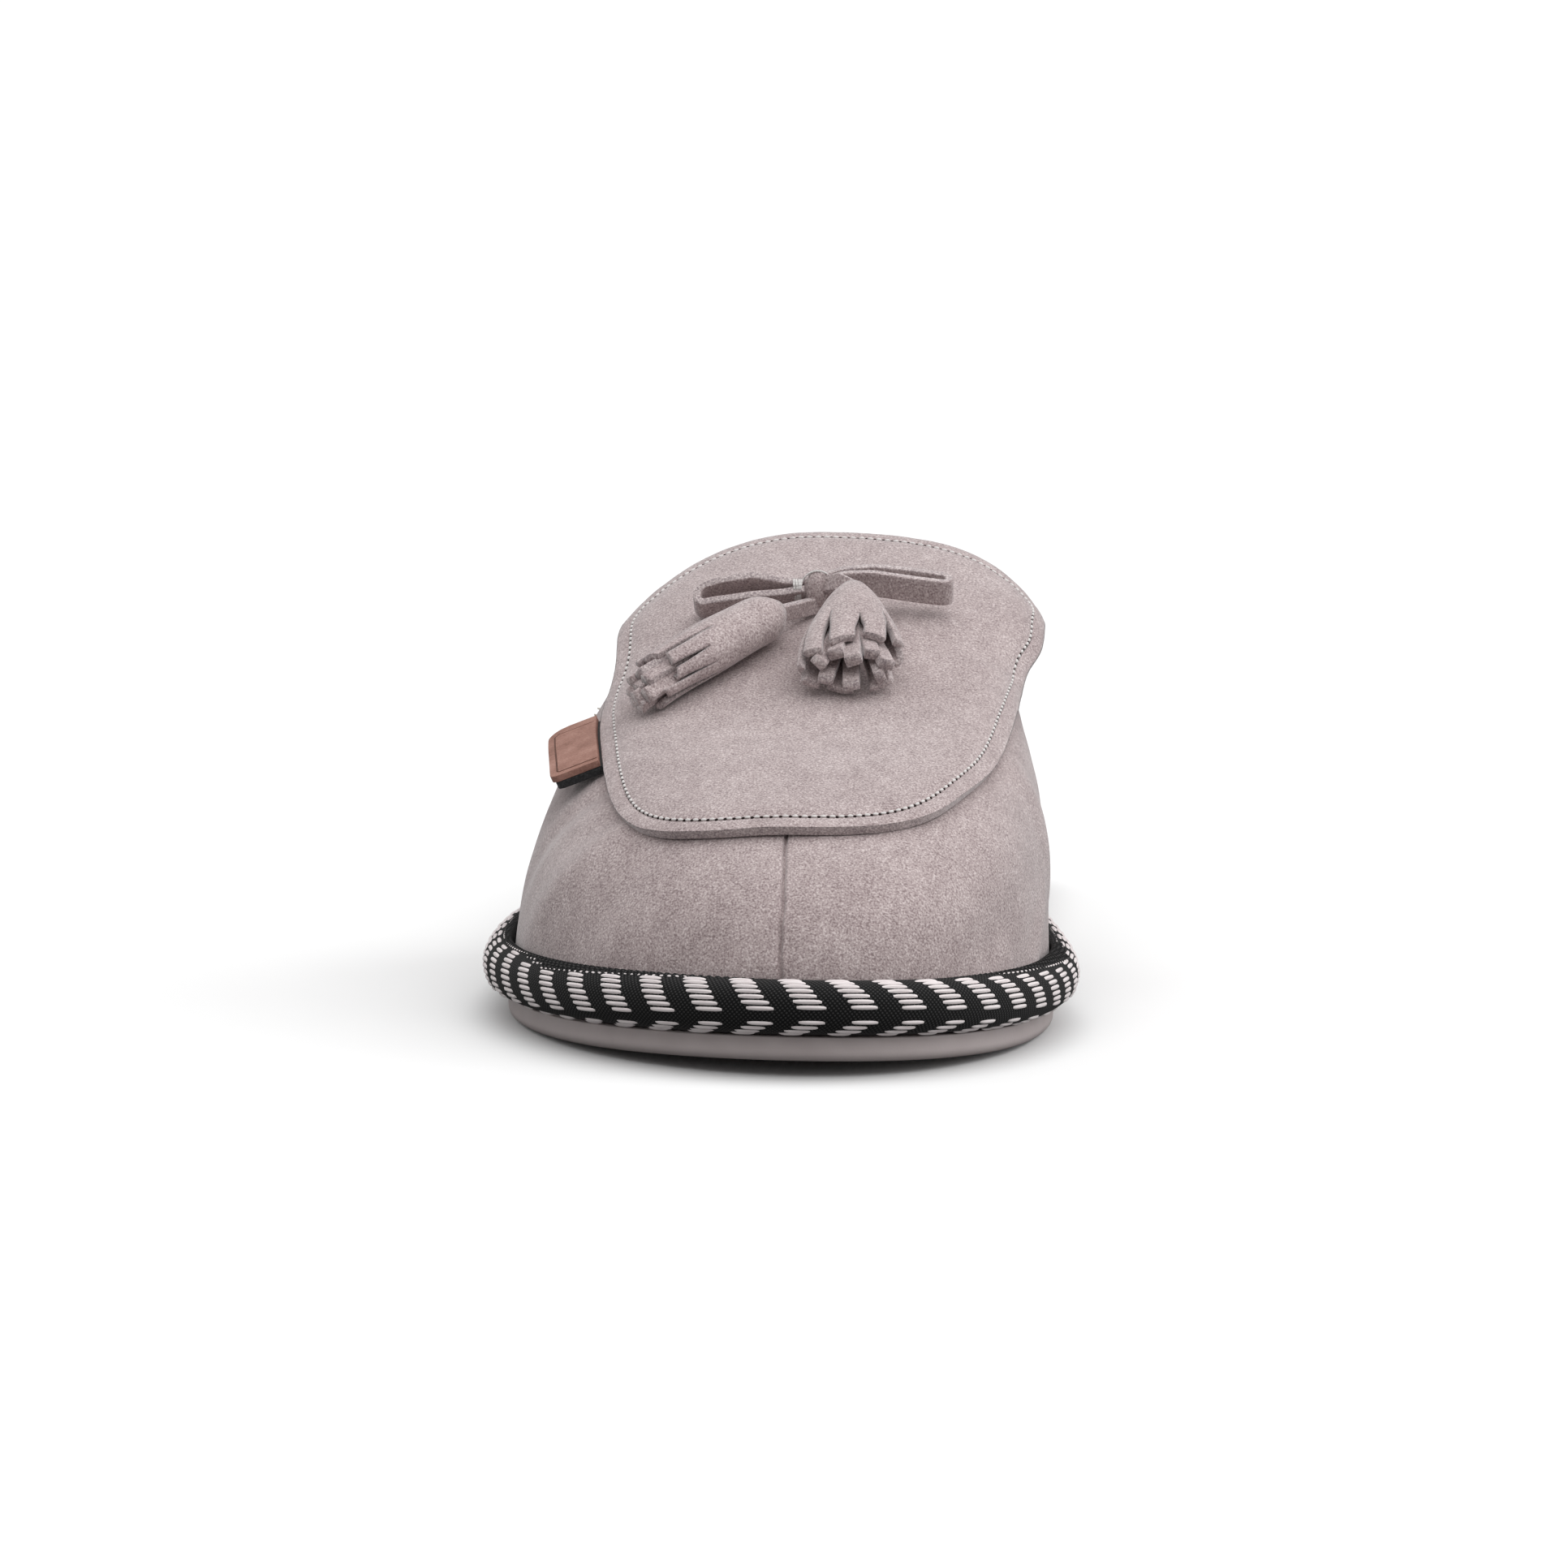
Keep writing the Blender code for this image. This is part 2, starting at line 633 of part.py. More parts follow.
def loop_path(length):
    """A bow loop in its own plane, as distance out and offset: one strand out, a round bend and one strand back."""
    pinch, radius = STRAP_THICKNESS / 2 + CLEARANCE, LOOP_OPENING / 2
    places = []
    for i in range(LOOP_STEPS + 1):
        share = i / LOOP_STEPS
        offset = pinch + (radius - pinch) * smoothstep(share / LOOP_NECK_SHARE)
        places.append(((length - radius) * share, offset))
    for i in range(1, LOOP_STEPS):
        angle = math.pi * i / LOOP_STEPS
        places.append((length - radius + radius * math.sin(angle), radius * math.cos(angle)))
    return places + [(out, -offset) for out, offset in reversed(places[: LOOP_STEPS + 1])]


def make_loop(name, start, out, opening, length, material, parent):
    """One loop of the bow. Out is its direction, and opening the direction in which its two strands part."""
    places = loop_path(length)
    across = out.cross(opening).normalized()
    points = [start + out * a + opening * b for a, b in places]
    sections = []
    for i, point in enumerate(points):
        tangent = points[min(i + 1, len(points) - 1)] - points[max(i - 1, 0)]
        sections.append(strap_section(point, across, tangent.cross(across).normalized()))
    mesh_data = bmesh.new()
    add_sweep(mesh_data, sections)
    return finish(name, mesh_data, material, parent)


def knot_place():
    """The knot's middle on the tongue, with the surface's own directions there."""
    y = KNOT_SHARE * FEATHER_LENGTH
    lift = 2 * CLEARANCE + PLUG_THICKNESS + KNOT_HEIGHT / 2
    return lifted(INSTEP_X, y, lift), surface_frame(INSTEP_X, y)


def make_bow(material, parent):
    """The flat suede lace, tied: a knot, one loop on each side and two short ends that lead to the tassels."""
    middle, (across, along, out) = knot_place()
    mesh_data = bmesh.new()
    bmesh.ops.create_uvsphere(mesh_data, u_segments=16, v_segments=10, radius=0.5)
    for vert in mesh_data.verts:
        x, y, z = vert.co
        vert.co = middle + across * x * KNOT_WIDTH + along * y * KNOT_LENGTH + out * z * KNOT_HEIGHT
    knot = finish("bow", mesh_data, material, parent)
    left_out = out * math.sin(LEFT_LOOP_RISE) - across * math.cos(LEFT_LOOP_RISE)
    right_out = out * math.sin(RIGHT_LOOP_RISE) + across * math.cos(RIGHT_LOOP_RISE)
    left_opening = left_out.cross(along).normalized()
    add_union(knot, make_loop("left_loop", middle, left_out, left_opening, LEFT_LOOP_LENGTH, material, parent))
    add_union(knot, make_loop("right_loop", middle, right_out, along, RIGHT_LOOP_LENGTH, material, parent))
    return knot


def draped_route(x, y, heading, length, start_lift, end_lift):
    """Points and outward directions of a tassel's middle line, which leaves x, y in this heading above the plug."""
    step = length / TASSEL_STEPS
    place = Vector((x, y, 0))
    points = [lifted(x, y, start_lift, flared=True)]
    outs = [surface_frame(x, y, flared=True)[2]]
    for i in range(1, TASSEL_STEPS + 1):
        lift = start_lift + (end_lift - start_lift) * i / TASSEL_STEPS
        trial = place + heading * step
        reached = (lifted(trial.x, trial.y, lift, flared=True) - points[-1]).length
        place = place + heading * step * step / reached
        points.append(lifted(place.x, place.y, lift, flared=True))
        outs.append(surface_frame(place.x, place.y, flared=True)[2])
    return points, outs


def tassel_ring(route, table, length):
    """The tassel's outer form, as a function of the share along it and the angle round its middle line."""
    points, outs = route
    tassel_wide, tassel_deep = column_curve(table, "wide"), column_curve(table, "deep")

    def ring_point(along, angle, inset=0.0, ring=1.0):
        i = min(int(along * TASSEL_STEPS), TASSEL_STEPS - 1)
        part = along * TASSEL_STEPS - i
        middle = points[i].lerp(points[i + 1], part)
        out = outs[i].lerp(outs[i + 1], part)
        axis = (points[i + 1] - points[i]).normalized()
        across = axis.cross(out).normalized()
        wide = (tassel_wide(along) * length - inset) * ring
        deep = (tassel_deep(along) * length - inset) * ring
        return middle + across * wide * math.cos(angle) + across.cross(axis) * deep * math.sin(angle)

    return ring_point


def add_strips(mesh_data, ring_point, strips):
    """Adds one ring of cut strips, which start inside the tassel's head and end in tips of uneven length."""
    turn = math.pi / strips["count"] * STRIP_FILL
    for k in range(strips["count"]):
        angle = 2 * math.pi * (k + 0.5) / strips["count"]
        end_share = strips["tip"] - STRIP_UNEVENNESS * (1 + math.sin(2.4 * k + strips["count"])) / 2
        sections = []
        for i in range(STRIP_SECTIONS):
            along = STRIP_START_SHARE + (end_share - STRIP_START_SHARE) * i / (STRIP_SECTIONS - 1)
            middle, before, after, ahead = (
                ring_point(share, turned, STRIP_THICKNESS / 3, strips["ring"])
                for share, turned in ((along, angle), (along, angle - turn), (along, angle + turn), (1.0, angle))
            )
            beside = after - before
            outward = beside.cross(ahead - ring_point(0.0, angle)).normalized()
            sections.append(strap_section(middle, beside.normalized(), outward, beside.length, STRIP_THICKNESS))
        add_sweep(mesh_data, sections)


def make_tassel(name, ring_point, material, parent):
    """A fringe of suede rolled round the lace's end: a tight neck, a head, and strips cut free below it."""
    sections = []
    for i in range(HEAD_SECTIONS):
        along = TASSEL_HEAD_SHARE * i / (HEAD_SECTIONS - 1)
        sections.append([ring_point(along, 2 * math.pi * k / TASSEL_SIDES) for k in range(TASSEL_SIDES)])
    mesh_data = bmesh.new()
    add_sweep(mesh_data, sections)
    head = finish(name, mesh_data, material, parent)
    strips = bmesh.new()
    add_strips(strips, ring_point, OUTER_STRIPS)
    add_strips(strips, ring_point, INNER_STRIPS)
    add_union(head, finish(f"{name}_strips", strips, material, parent))
    return head


def make_tassels(material, parent):
    """The two tassels, which hang from the knot down the tongue and lie on the plug."""
    y = KNOT_SHARE * FEATHER_LENGTH
    plug_top = CLEARANCE + PLUG_THICKNESS
    knot_lift = plug_top + CLEARANCE + KNOT_HEIGHT / 2

    def tassel_start(table, length):
        """Where a tassel's neck clears the loops, and how high its tip's middle lies above the vamp."""
        neck, tip = table[0]["wide"] * length, table[-1]["deep"] * length
        return y - STRAP_WIDTH / 2 - neck - 2 * CLEARANCE, plug_top + tip + STRIP_THICKNESS / 2 + 2 * CLEARANCE

    left_y, left_end = tassel_start(LEFT_TASSEL_TABLE, LEFT_TASSEL_LENGTH)
    left_x = INSTEP_X - LEFT_TASSEL_ASIDE
    left_start = knot_lift + LEFT_TASSEL_LIFT
    left_y -= LEFT_TASSEL_AHEAD
    left = draped_route(left_x, left_y, LEFT_TASSEL_HEADING, LEFT_TASSEL_LENGTH, left_start, left_end)
    make_tassel("tassel_left", tassel_ring(left, LEFT_TASSEL_TABLE, LEFT_TASSEL_LENGTH), material, parent)
    right_y, right_end = tassel_start(RIGHT_TASSEL_TABLE, RIGHT_TASSEL_LENGTH)
    right_x = INSTEP_X + RIGHT_TASSEL_ASIDE
    right_start = knot_lift + RIGHT_TASSEL_LIFT
    right = draped_route(
        right_x, right_y - CLEARANCE, RIGHT_TASSEL_HEADING, RIGHT_TASSEL_LENGTH, right_start, right_end
    )
    make_tassel("tassel_right", tassel_ring(right, RIGHT_TASSEL_TABLE, RIGHT_TASSEL_LENGTH), material, parent)


def build():
    clear_scene()
    materials = {name: make_material(name) for name in MATERIALS}
    slipper = bpy.data.objects.new("slipper", None)
    bpy.context.scene.collection.objects.link(slipper)
    reach = [point + normal * ROLL_BULGE for point, normal in zip(LOOP, LOOP_NORMALS)]
    xs, ys = [p.x for p in reach], [p.y for p in reach]
    slipper.location = (-(min(xs) + max(xs)) / 2, -(min(ys) + max(ys)) / 2, 0)
    make_outsole(materials["rubber"], slipper)
    make_insole(materials["fleece"], slipper)
    make_braid_roll(materials["braid"], slipper)
    make_upper(materials["suede"], slipper)
    make_plug_tongue(materials["suede"], slipper)
    make_tab_layer("tab_backing", CLEARANCE, TAB_BACKING, materials["tab_felt"], slipper)
    leather_lift = 2 * CLEARANCE + TAB_BACKING
    make_tab_layer("tab_leather", leather_lift, TAB_LEATHER, materials["tab_leather"], slipper)
    make_bow(materials["suede"], slipper)
    make_tassels(materials["suede"], slipper)


build()
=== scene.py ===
"""The looks of a suede mule slipper for the right foot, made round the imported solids.

Sizes are metres. Pieces are worked out in the last's own frame, as the solids are: the toe tip of the feather
line is at y = 0, +Z is up, the toe points towards -Y and the medial side lies towards +X.
"""

import math

import bmesh
import bpy
import numpy as np
from mathutils import Matrix, Vector, noise


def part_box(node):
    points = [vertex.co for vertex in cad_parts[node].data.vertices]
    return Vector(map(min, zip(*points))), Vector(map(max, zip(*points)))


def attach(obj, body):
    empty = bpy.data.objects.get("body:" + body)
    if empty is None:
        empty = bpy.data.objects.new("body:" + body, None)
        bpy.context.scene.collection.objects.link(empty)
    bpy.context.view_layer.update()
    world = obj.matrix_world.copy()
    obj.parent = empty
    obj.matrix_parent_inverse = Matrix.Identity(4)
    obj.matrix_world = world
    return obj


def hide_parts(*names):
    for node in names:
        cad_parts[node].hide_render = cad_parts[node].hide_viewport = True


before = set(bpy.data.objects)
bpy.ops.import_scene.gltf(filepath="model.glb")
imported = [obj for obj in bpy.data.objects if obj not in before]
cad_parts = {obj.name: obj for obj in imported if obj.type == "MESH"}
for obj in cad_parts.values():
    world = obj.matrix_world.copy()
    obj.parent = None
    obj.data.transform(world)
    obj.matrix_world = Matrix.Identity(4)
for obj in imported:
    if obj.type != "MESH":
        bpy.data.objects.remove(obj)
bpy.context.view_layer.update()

# The rubber sole
# One sheet of taupe rubber, moulded with a rounded lower edge, a sprung toe, a shallow arch and a plain
# ribbed tread. Its outline is the feather line of the last, where the upper meets the sole, which every
# other piece follows too.

FEATHER_LENGTH = 0.252
BALL_WIDTH = 0.0953
TOE_ROUND_SHARE = 0.262
HEEL_ROUND_SHARE = 0.15
TOE_BLUNTNESS = 2.0
HEEL_BLUNTNESS = 2.1
OUTSOLE_THICKNESS = 0.0043
OUTSOLE_MARGIN = 0.0010
OUTSOLE_EDGE_ROUND = 0.0018
TOE_SPRING = 0.0030
TOE_SPRING_SHARE = 0.26
HEEL_LIFT = 0.0030
HEEL_LIFT_START_SHARE = 0.42
HEEL_LIFT_END_SHARE = 0.72
ARCH_RISE = 0.0015
ARCH_START_SHARE = 0.42
ARCH_END_SHARE = 0.70
CLEARANCE = 0.0003
TREAD_PITCH = 0.0052
TREAD_DEPTH = 0.0006
TREAD_MARGIN = 0.0045
TREAD_SLANT = 0.25
SOLE_GRID = (640, 110)
OUTLINE_SAMPLES = 2401
RUBBER_MOTTLE = 0.006
RUBBER_SKIN = 0.0005
MERGE_DISTANCE = 2e-6

OUTLINE_TABLE = (
    {"along": 0.00, "centre": 0.078, "half": 0.492},
    {"along": 0.06, "centre": 0.048, "half": 0.496},
    {"along": 0.12, "centre": 0.030, "half": 0.498},
    {"along": 0.18, "centre": 0.015, "half": 0.500},
    {"along": 0.25, "centre": 0.003, "half": 0.503},
    {"along": 0.32, "centre": -0.008, "half": 0.496},
    {"along": 0.40, "centre": -0.016, "half": 0.474},
    {"along": 0.50, "centre": -0.015, "half": 0.435},
    {"along": 0.60, "centre": -0.008, "half": 0.402},
    {"along": 0.70, "centre": 0.008, "half": 0.385},
    {"along": 0.80, "centre": 0.015, "half": 0.375},
    {"along": 0.90, "centre": 0.019, "half": 0.370},
    {"along": 1.00, "centre": 0.020, "half": 0.365},
)


def smoothstep(value):
    value = np.clip(value, 0.0, 1.0)
    return value * value * (3 - 2 * value)


def column_curve(table, column):
    """The natural cubic curve through one column of a table, as a function of the share along."""
    x = np.array([row["along"] for row in table])
    y = np.array([row[column] for row in table])
    step = np.diff(x)
    count = len(x)
    matrix = np.eye(count)
    slope_change = np.zeros(count)
    for i in range(1, count - 1):
        matrix[i, i - 1 : i + 2] = step[i - 1], 2 * (step[i - 1] + step[i]), step[i]
        slope_change[i] = 6 * ((y[i + 1] - y[i]) / step[i] - (y[i] - y[i - 1]) / step[i - 1])
    bend = np.linalg.solve(matrix, slope_change)

    def value(share):
        i = np.clip(np.searchsorted(x, share) - 1, 0, count - 2)
        after, before = x[i + 1] - share, share - x[i]
        curved = (bend[i] * after**3 + bend[i + 1] * before**3) / (6 * step[i])
        first = (y[i] / step[i] - bend[i] * step[i] / 6) * after
        second = (y[i + 1] / step[i] - bend[i + 1] * step[i] / 6) * before
        return curved + first + second

    return value


def end_factor(share, bluntness):
    """How wide a rounded end is at this share of its depth, from 0 at the tip to 1."""
    share = np.clip(share, 0.0, 1.0)
    return (1 - (1 - share) ** bluntness) ** (1 / bluntness)


outline_centre = column_curve(OUTLINE_TABLE, "centre")
outline_half = column_curve(OUTLINE_TABLE, "half")


def feather_sides(y):
    """The feather line's lateral and medial x at this distance from the toe tip."""
    along = y / FEATHER_LENGTH
    toe = end_factor(along / TOE_ROUND_SHARE, TOE_BLUNTNESS)
    heel = end_factor((1 - along) / HEEL_ROUND_SHARE, HEEL_BLUNTNESS)
    half = outline_half(along) * BALL_WIDTH * toe * heel
    centre = outline_centre(along) * BALL_WIDTH
    return centre - half, centre + half


def toe_spring(y):
    return TOE_SPRING * np.maximum(1 - y / (TOE_SPRING_SHARE * FEATHER_LENGTH), 0.0) ** 2


def ground_level(y):
    share = (y / FEATHER_LENGTH - ARCH_START_SHARE) / (ARCH_END_SHARE - ARCH_START_SHARE)
    return toe_spring(y) + ARCH_RISE * np.sin(math.pi * np.clip(share, 0.0, 1.0)) ** 2


def seat_level(y):
    share = (y / FEATHER_LENGTH - HEEL_LIFT_START_SHARE) / (HEEL_LIFT_END_SHARE - HEEL_LIFT_START_SHARE)
    return OUTSOLE_THICKNESS + toe_spring(y) + HEEL_LIFT * smoothstep(share)


def unit_rows(rows):
    """Each row as a direction."""
    return rows / np.linalg.norm(rows, axis=1)[:, None]


def distance_run(points):
    """How far along a line of points each of them lies."""
    return np.concatenate([[0], np.cumsum(np.linalg.norm(np.diff(points, axis=0), axis=1))])


# The feather line as a loop of fine samples, from the toe tip down the medial side, round the heel and back
# up the lateral side, with its outward normals.
samples = (1 - np.cos(np.linspace(0, math.pi, OUTLINE_SAMPLES))) / 2 * FEATHER_LENGTH
lateral_edge, medial_edge = feather_sides(samples)
LOOP = np.concatenate([np.stack([medial_edge, samples], 1), np.stack([lateral_edge, samples], 1)[-2::-1]])
tangents = unit_rows(np.roll(LOOP[:-1], -1, 0) - np.roll(LOOP[:-1], 1, 0))
LOOP_NORMALS = np.stack([tangents[:, 1], -tangents[:, 0]], 1)
LOOP_NORMALS = np.concatenate([LOOP_NORMALS, LOOP_NORMALS[:1]])


def loop_lengths(outset):
    """The distance along the loop, moved this far out of the feather line, up to each of its samples."""
    return distance_run(LOOP + LOOP_NORMALS * outset)


FEATHER_RUN = loop_lengths(0)


def round_loop(place, lengths):
    """The point and outward normal of the feather line at each place along the given lengths."""
    place = np.mod(place, lengths[-1])
    point = np.stack([np.interp(place, lengths, LOOP[:, i]) for i in range(2)], 1)
    normal = np.stack([np.interp(place, lengths, LOOP_NORMALS[:, i]) for i in range(2)], 1)
    return point, unit_rows(normal)


# The solids are centred on the braid roll's box, so that box gives the last frame's place.
ROLL_BULGE = 0.0054
roll_low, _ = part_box("braid_roll")
roll_reach = LOOP + LOOP_NORMALS * ROLL_BULGE
LAST_PLACE = Vector((roll_low.x - roll_reach[:, 0].min(), roll_low.y - roll_reach[:, 1].min(), 0))


def srgb(code):
    """A hex swatch colour in the linear values that the shader takes."""
    parts = [int(code[i : i + 2], 16) / 255 for i in (1, 3, 5)]
    return (*(part / 12.92 if part <= 0.04045 else ((part + 0.055) / 1.055) ** 2.4 for part in parts), 1.0)


def add_node(owner, kind, values=None, links=None, **settings):
    """Adds a shader node with its socket values, the outputs that feed its sockets, and its settings."""
    tree = owner.node_tree
    node = tree.nodes.new(kind)
    for name, value in settings.items():
        setattr(node, name, value)
    for socket, value in (values or {}).items():
        node.inputs[socket].default_value = value
    for socket, output in (links or {}).items():
        tree.links.new(output, node.inputs[socket])
    return node


def new_material(name, **values):
    """A Principled material with its constants on the shader's own sockets, and its texture coordinates."""
    material = bpy.data.materials.new(name)
    material.use_nodes = True
    shader = material.node_tree.nodes["Principled BSDF"]
    for socket, value in values.items():
        shader.inputs[socket.replace("_", " ")].default_value = value
    return material, add_node(material, "ShaderNodeTexCoord").outputs


def finish_look(material, pattern, stops, relief=None, strength=1.0, depth=0.0):
    """Colours a material by a pattern, through stops of place and hex colour, and raises it by a relief."""
    links = material.node_tree.links
    shader = material.node_tree.nodes["Principled BSDF"]
    tones = add_node(material, "ShaderNodeValToRGB", links={"Fac": pattern})
    ramp = tones.color_ramp.elements
    ramp[0].position = stops[0][0]
    ramp[1].position = stops[-1][0]
    for position, _ in stops[1:-1]:
        ramp.new(position)
    for element, (_, colour) in zip(ramp, stops):
        element.color = srgb(colour)
    links.new(tones.outputs["Color"], shader.inputs["Base Color"])
    if relief:
        raised = {"Strength": strength, "Distance": depth}
        bump = add_node(material, "ShaderNodeBump", raised, {"Height": relief})
        links.new(bump.outputs["Normal"], shader.inputs["Normal"])
    return material


def grid_onto(mesh_data, across, along, place, pattern=None):
    """Adds a grid and moves its points to the places of their two shares. The pattern gives them their UV."""
    made = bmesh.ops.create_grid(mesh_data, x_segments=across, y_segments=along, size=0.5)["verts"]
    shares = np.array([vert.co for vert in made])[:, :2] + 0.5
    places = place(shares[:, 0], shares[:, 1])
    for vert, point in zip(made, places):
        vert.co = point
    if pattern:
        layer = mesh_data.loops.layers.uv.verify()
        coordinates = np.stack(pattern(shares[:, 0], shares[:, 1]), 1)
        uv_of = dict(zip(made, coordinates))
        for face in {face for vert in made for face in vert.link_faces}:
            for corner in face.loops:
                corner[layer].uv = uv_of[corner.vert]
    return made


def join_part(mesh_data, part):
    """Adds a small part to a joined mesh and frees the part."""
    scratch = bpy.data.meshes.new("scratch")
    part.to_mesh(scratch)
    part.free()
    mesh_data.from_mesh(scratch)
    bpy.data.meshes.remove(scratch)


def finish_piece(name, mesh_data, materials, closed=True, merge=True):
    """Puts a modelled piece into the row frame as a smooth object that rides on the slipper."""
    if merge:
        bmesh.ops.remove_doubles(mesh_data, verts=mesh_data.verts, dist=MERGE_DISTANCE)
    if merge and closed:
        bmesh.ops.recalc_face_normals(mesh_data, faces=mesh_data.faces)
    bmesh.ops.translate(mesh_data, vec=LAST_PLACE, verts=mesh_data.verts)
    mesh = bpy.data.meshes.new(name)
    mesh_data.to_mesh(mesh)
    mesh_data.free()
    mesh.shade_smooth()
    for material in materials:
        mesh.materials.append(material)
    piece = bpy.data.objects.new(name, mesh)
    bpy.context.scene.collection.objects.link(piece)
    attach(piece, "root")
    return piece


def make_rubber():
    """Moulded rubber: an even taupe with a faint mottle, and a fine matt skin with a soft highlight."""
    material, coords = new_material("moulded_rubber", Roughness=0.48, IOR=1.5)
    where = {"Vector": coords["Object"]}
    mottle = add_node(material, "ShaderNodeTexNoise", {"Scale": 1 / RUBBER_MOTTLE, "Detail": 4}, where)
    skin = add_node(material, "ShaderNodeTexNoise", {"Scale": 1 / RUBBER_SKIN, "Detail": 3}, where)
    stops = ((0, "#C2B6B5"), (1, "#D0C5C4"))
    return finish_look(
        material, mottle.outputs["Fac"], stops, skin.outputs["Fac"], strength=0.25, depth=0.0001
    )


def slab_place(margin, low, high, low_round, high_round, relief):
    """A grid's places on a slab with the last's outline: out over the top, down the side and in underneath.

    Margin, low and high are functions of y. Relief adds to the level from x, y, the distance from the edge
    and the part of the slab, 1 on the top and 0 below.
    """
    breaks = (0.0, 0.38, 0.44, 0.50, 0.58, 1.0)

    def place(round_share, down_share):
        parts = [np.clip((down_share - a) / (b - a), 0, 1) for a, b in zip(breaks, breaks[1:])]
        top, upper, side, lower, under = parts
        upper, lower = upper * math.pi / 2, lower * math.pi / 2
        point, normal = round_loop(round_share * FEATHER_RUN[-1], FEATHER_RUN)
        outset = margin(point[:, 1]) - high_round * (1 - np.sin(upper)) - low_round * (1 - np.cos(lower))
        xy = point + normal * outset[:, None]
        left, right = feather_sides(np.clip(xy[:, 1], 0, FEATHER_LENGTH))
        xy[:, 0] += ((left + right) / 2 - xy[:, 0]) * np.clip(1 - top + under, 0, 1)
        highest, lowest = high(xy[:, 1]), low(xy[:, 1])
        z = highest - high_round * (1 - np.cos(upper)) - low_round * np.sin(lower)
        z -= (highest - high_round - lowest - low_round) * side
        from_edge = np.minimum(xy[:, 0] - left, right - xy[:, 0])
        from_edge = np.minimum(from_edge, np.minimum(xy[:, 1], FEATHER_LENGTH - xy[:, 1]))
        return np.column_stack([xy, z + relief(xy[:, 0], xy[:, 1], from_edge, 1 - np.maximum(side, under))])

    return place


def tread_relief(x, y, from_edge, on_top):
    """Low grooves across the underside, bent into shallow arrows, which end short of the edge."""
    wave = np.sin(2 * math.pi * (y + TREAD_SLANT * np.abs(x)) / TREAD_PITCH)
    within = smoothstep(from_edge / TREAD_MARGIN - 1)
    return TREAD_DEPTH * smoothstep(0.5 - 2 * wave) * within * (on_top == 0)


sole = bmesh.new()
outsole_form = slab_place(
    lambda y: np.full_like(y, OUTSOLE_MARGIN),
    ground_level,
    seat_level,
    OUTSOLE_EDGE_ROUND,
    CLEARANCE,
    tread_relief,
)
grid_onto(sole, *SOLE_GRID, outsole_form)
outsole_rubber = finish_piece("outsole_rubber", sole, [make_rubber()])
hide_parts("outsole")

# The footbed
# A soft foam bed covered in cream wool fleece, glued on the sole inside the upper. The pile is a short
# curly wool, pressed flatter in the middle, where the foot lies.

INSOLE_THICKNESS = 0.0080
INSOLE_EDGE_ROUND = 0.0016
INSOLE_CUP = 0.0010
UPPER_WALL = 0.0022
WING_SHARE = 0.60
FLEECE_CURL = 0.0036
FLEECE_RELIEF = 0.0011
FINE_CURLS = 2.3
LOCK_LENGTH = 0.0026
LOCK_RADIUS = 0.00042
LOCK_LEAN = 0.55
LOCK_LEAST, LOCK_MOST = 0.6, 1.25
LOCK_TIP_SHARE = 0.35
LOCK_STAND_SHARE = 0.35
BED_LOCKS = 5200
BED_LOCK_REACH = 0.37
BED_LOCK_STAND = 0.7
BED_GRID = (420, 96)
TRODDEN = 0.45
TRODDEN_FROM_EDGE = 0.02
FLEECE_FIBRE = 0.0006


def make_fleece():
    """Wool fleece: cream, a little darker in painted shade between its curls, with fine crimped fibres and a
    soft sheen.
    """
    material, coords = new_material(
        "wool_fleece", Roughness=0.95, Sheen_Weight=0.5, Sheen_Roughness=0.6, Specular_IOR_Level=0.15
    )
    where = {"Vector": coords["Object"]}
    crimped = {"Scale": 1 / FLEECE_FIBRE, "Detail": 4, "Distortion": 1.5}
    curls = add_node(material, "ShaderNodeTexNoise", {"Scale": 1 / FLEECE_CURL, "Detail": 5}, where)
    fibres = add_node(material, "ShaderNodeTexNoise", crimped, where)
    # Painted shade: the curls' noise darkens the cream a little, for the shade between curls.
    stops = ((0.3, "#D9CDBB"), (0.65, "#F4ECDF"))
    return finish_look(
        material, curls.outputs["Fac"], stops, fibres.outputs["Fac"], strength=0.8, depth=0.0005
    )


wool_fleece = make_fleece()


def wool_height(places):
    """The pile's height at each place, from 0 between curls to 1 on them."""
    heights = []
    for place in places:
        spot = Vector(place) / FLEECE_CURL
        heights.append(0.5 + 0.5 * noise.noise(spot) + 0.25 * noise.noise(spot * FINE_CURLS))
    return np.clip(heights, 0, 1.2)


def add_locks(mesh_data, roots, outs, seed):
    """Adds a small tapered lock of wool at each root, leaning at random round its outward direction."""
    rng = np.random.default_rng(seed)
    for root, out in zip(roots, outs):
        lean = Vector(rng.normal(0, LOCK_LEAN, 3))
        axis = (Vector(out) + lean).normalized()
        length = LOCK_LENGTH * rng.uniform(LOCK_LEAST, LOCK_MOST)
        turned = axis.to_track_quat("Z", "Y").to_matrix().to_4x4()
        stood = Matrix.Translation(Vector(root) + axis * length * LOCK_STAND_SHARE) @ turned
        lock = bmesh.new()
        bmesh.ops.create_cone(
            lock,
            segments=4,
            radius1=LOCK_RADIUS,
            radius2=LOCK_RADIUS * LOCK_TIP_SHARE,
            depth=length,
            cap_ends=True,
            matrix=stood,
        )
        join_part(mesh_data, lock)


def bed_margin(y):
    """The bed lies inside the upper's wall, and past the wings it widens to the braid roll."""
    past_wing = smoothstep((y - WING_SHARE * FEATHER_LENGTH - UPPER_WALL) / (3 * UPPER_WALL))
    return -2 * CLEARANCE - (UPPER_WALL + CLEARANCE) * (1 - past_wing)


def bed_top(y):
    return seat_level(y) + CLEARANCE + INSOLE_THICKNESS


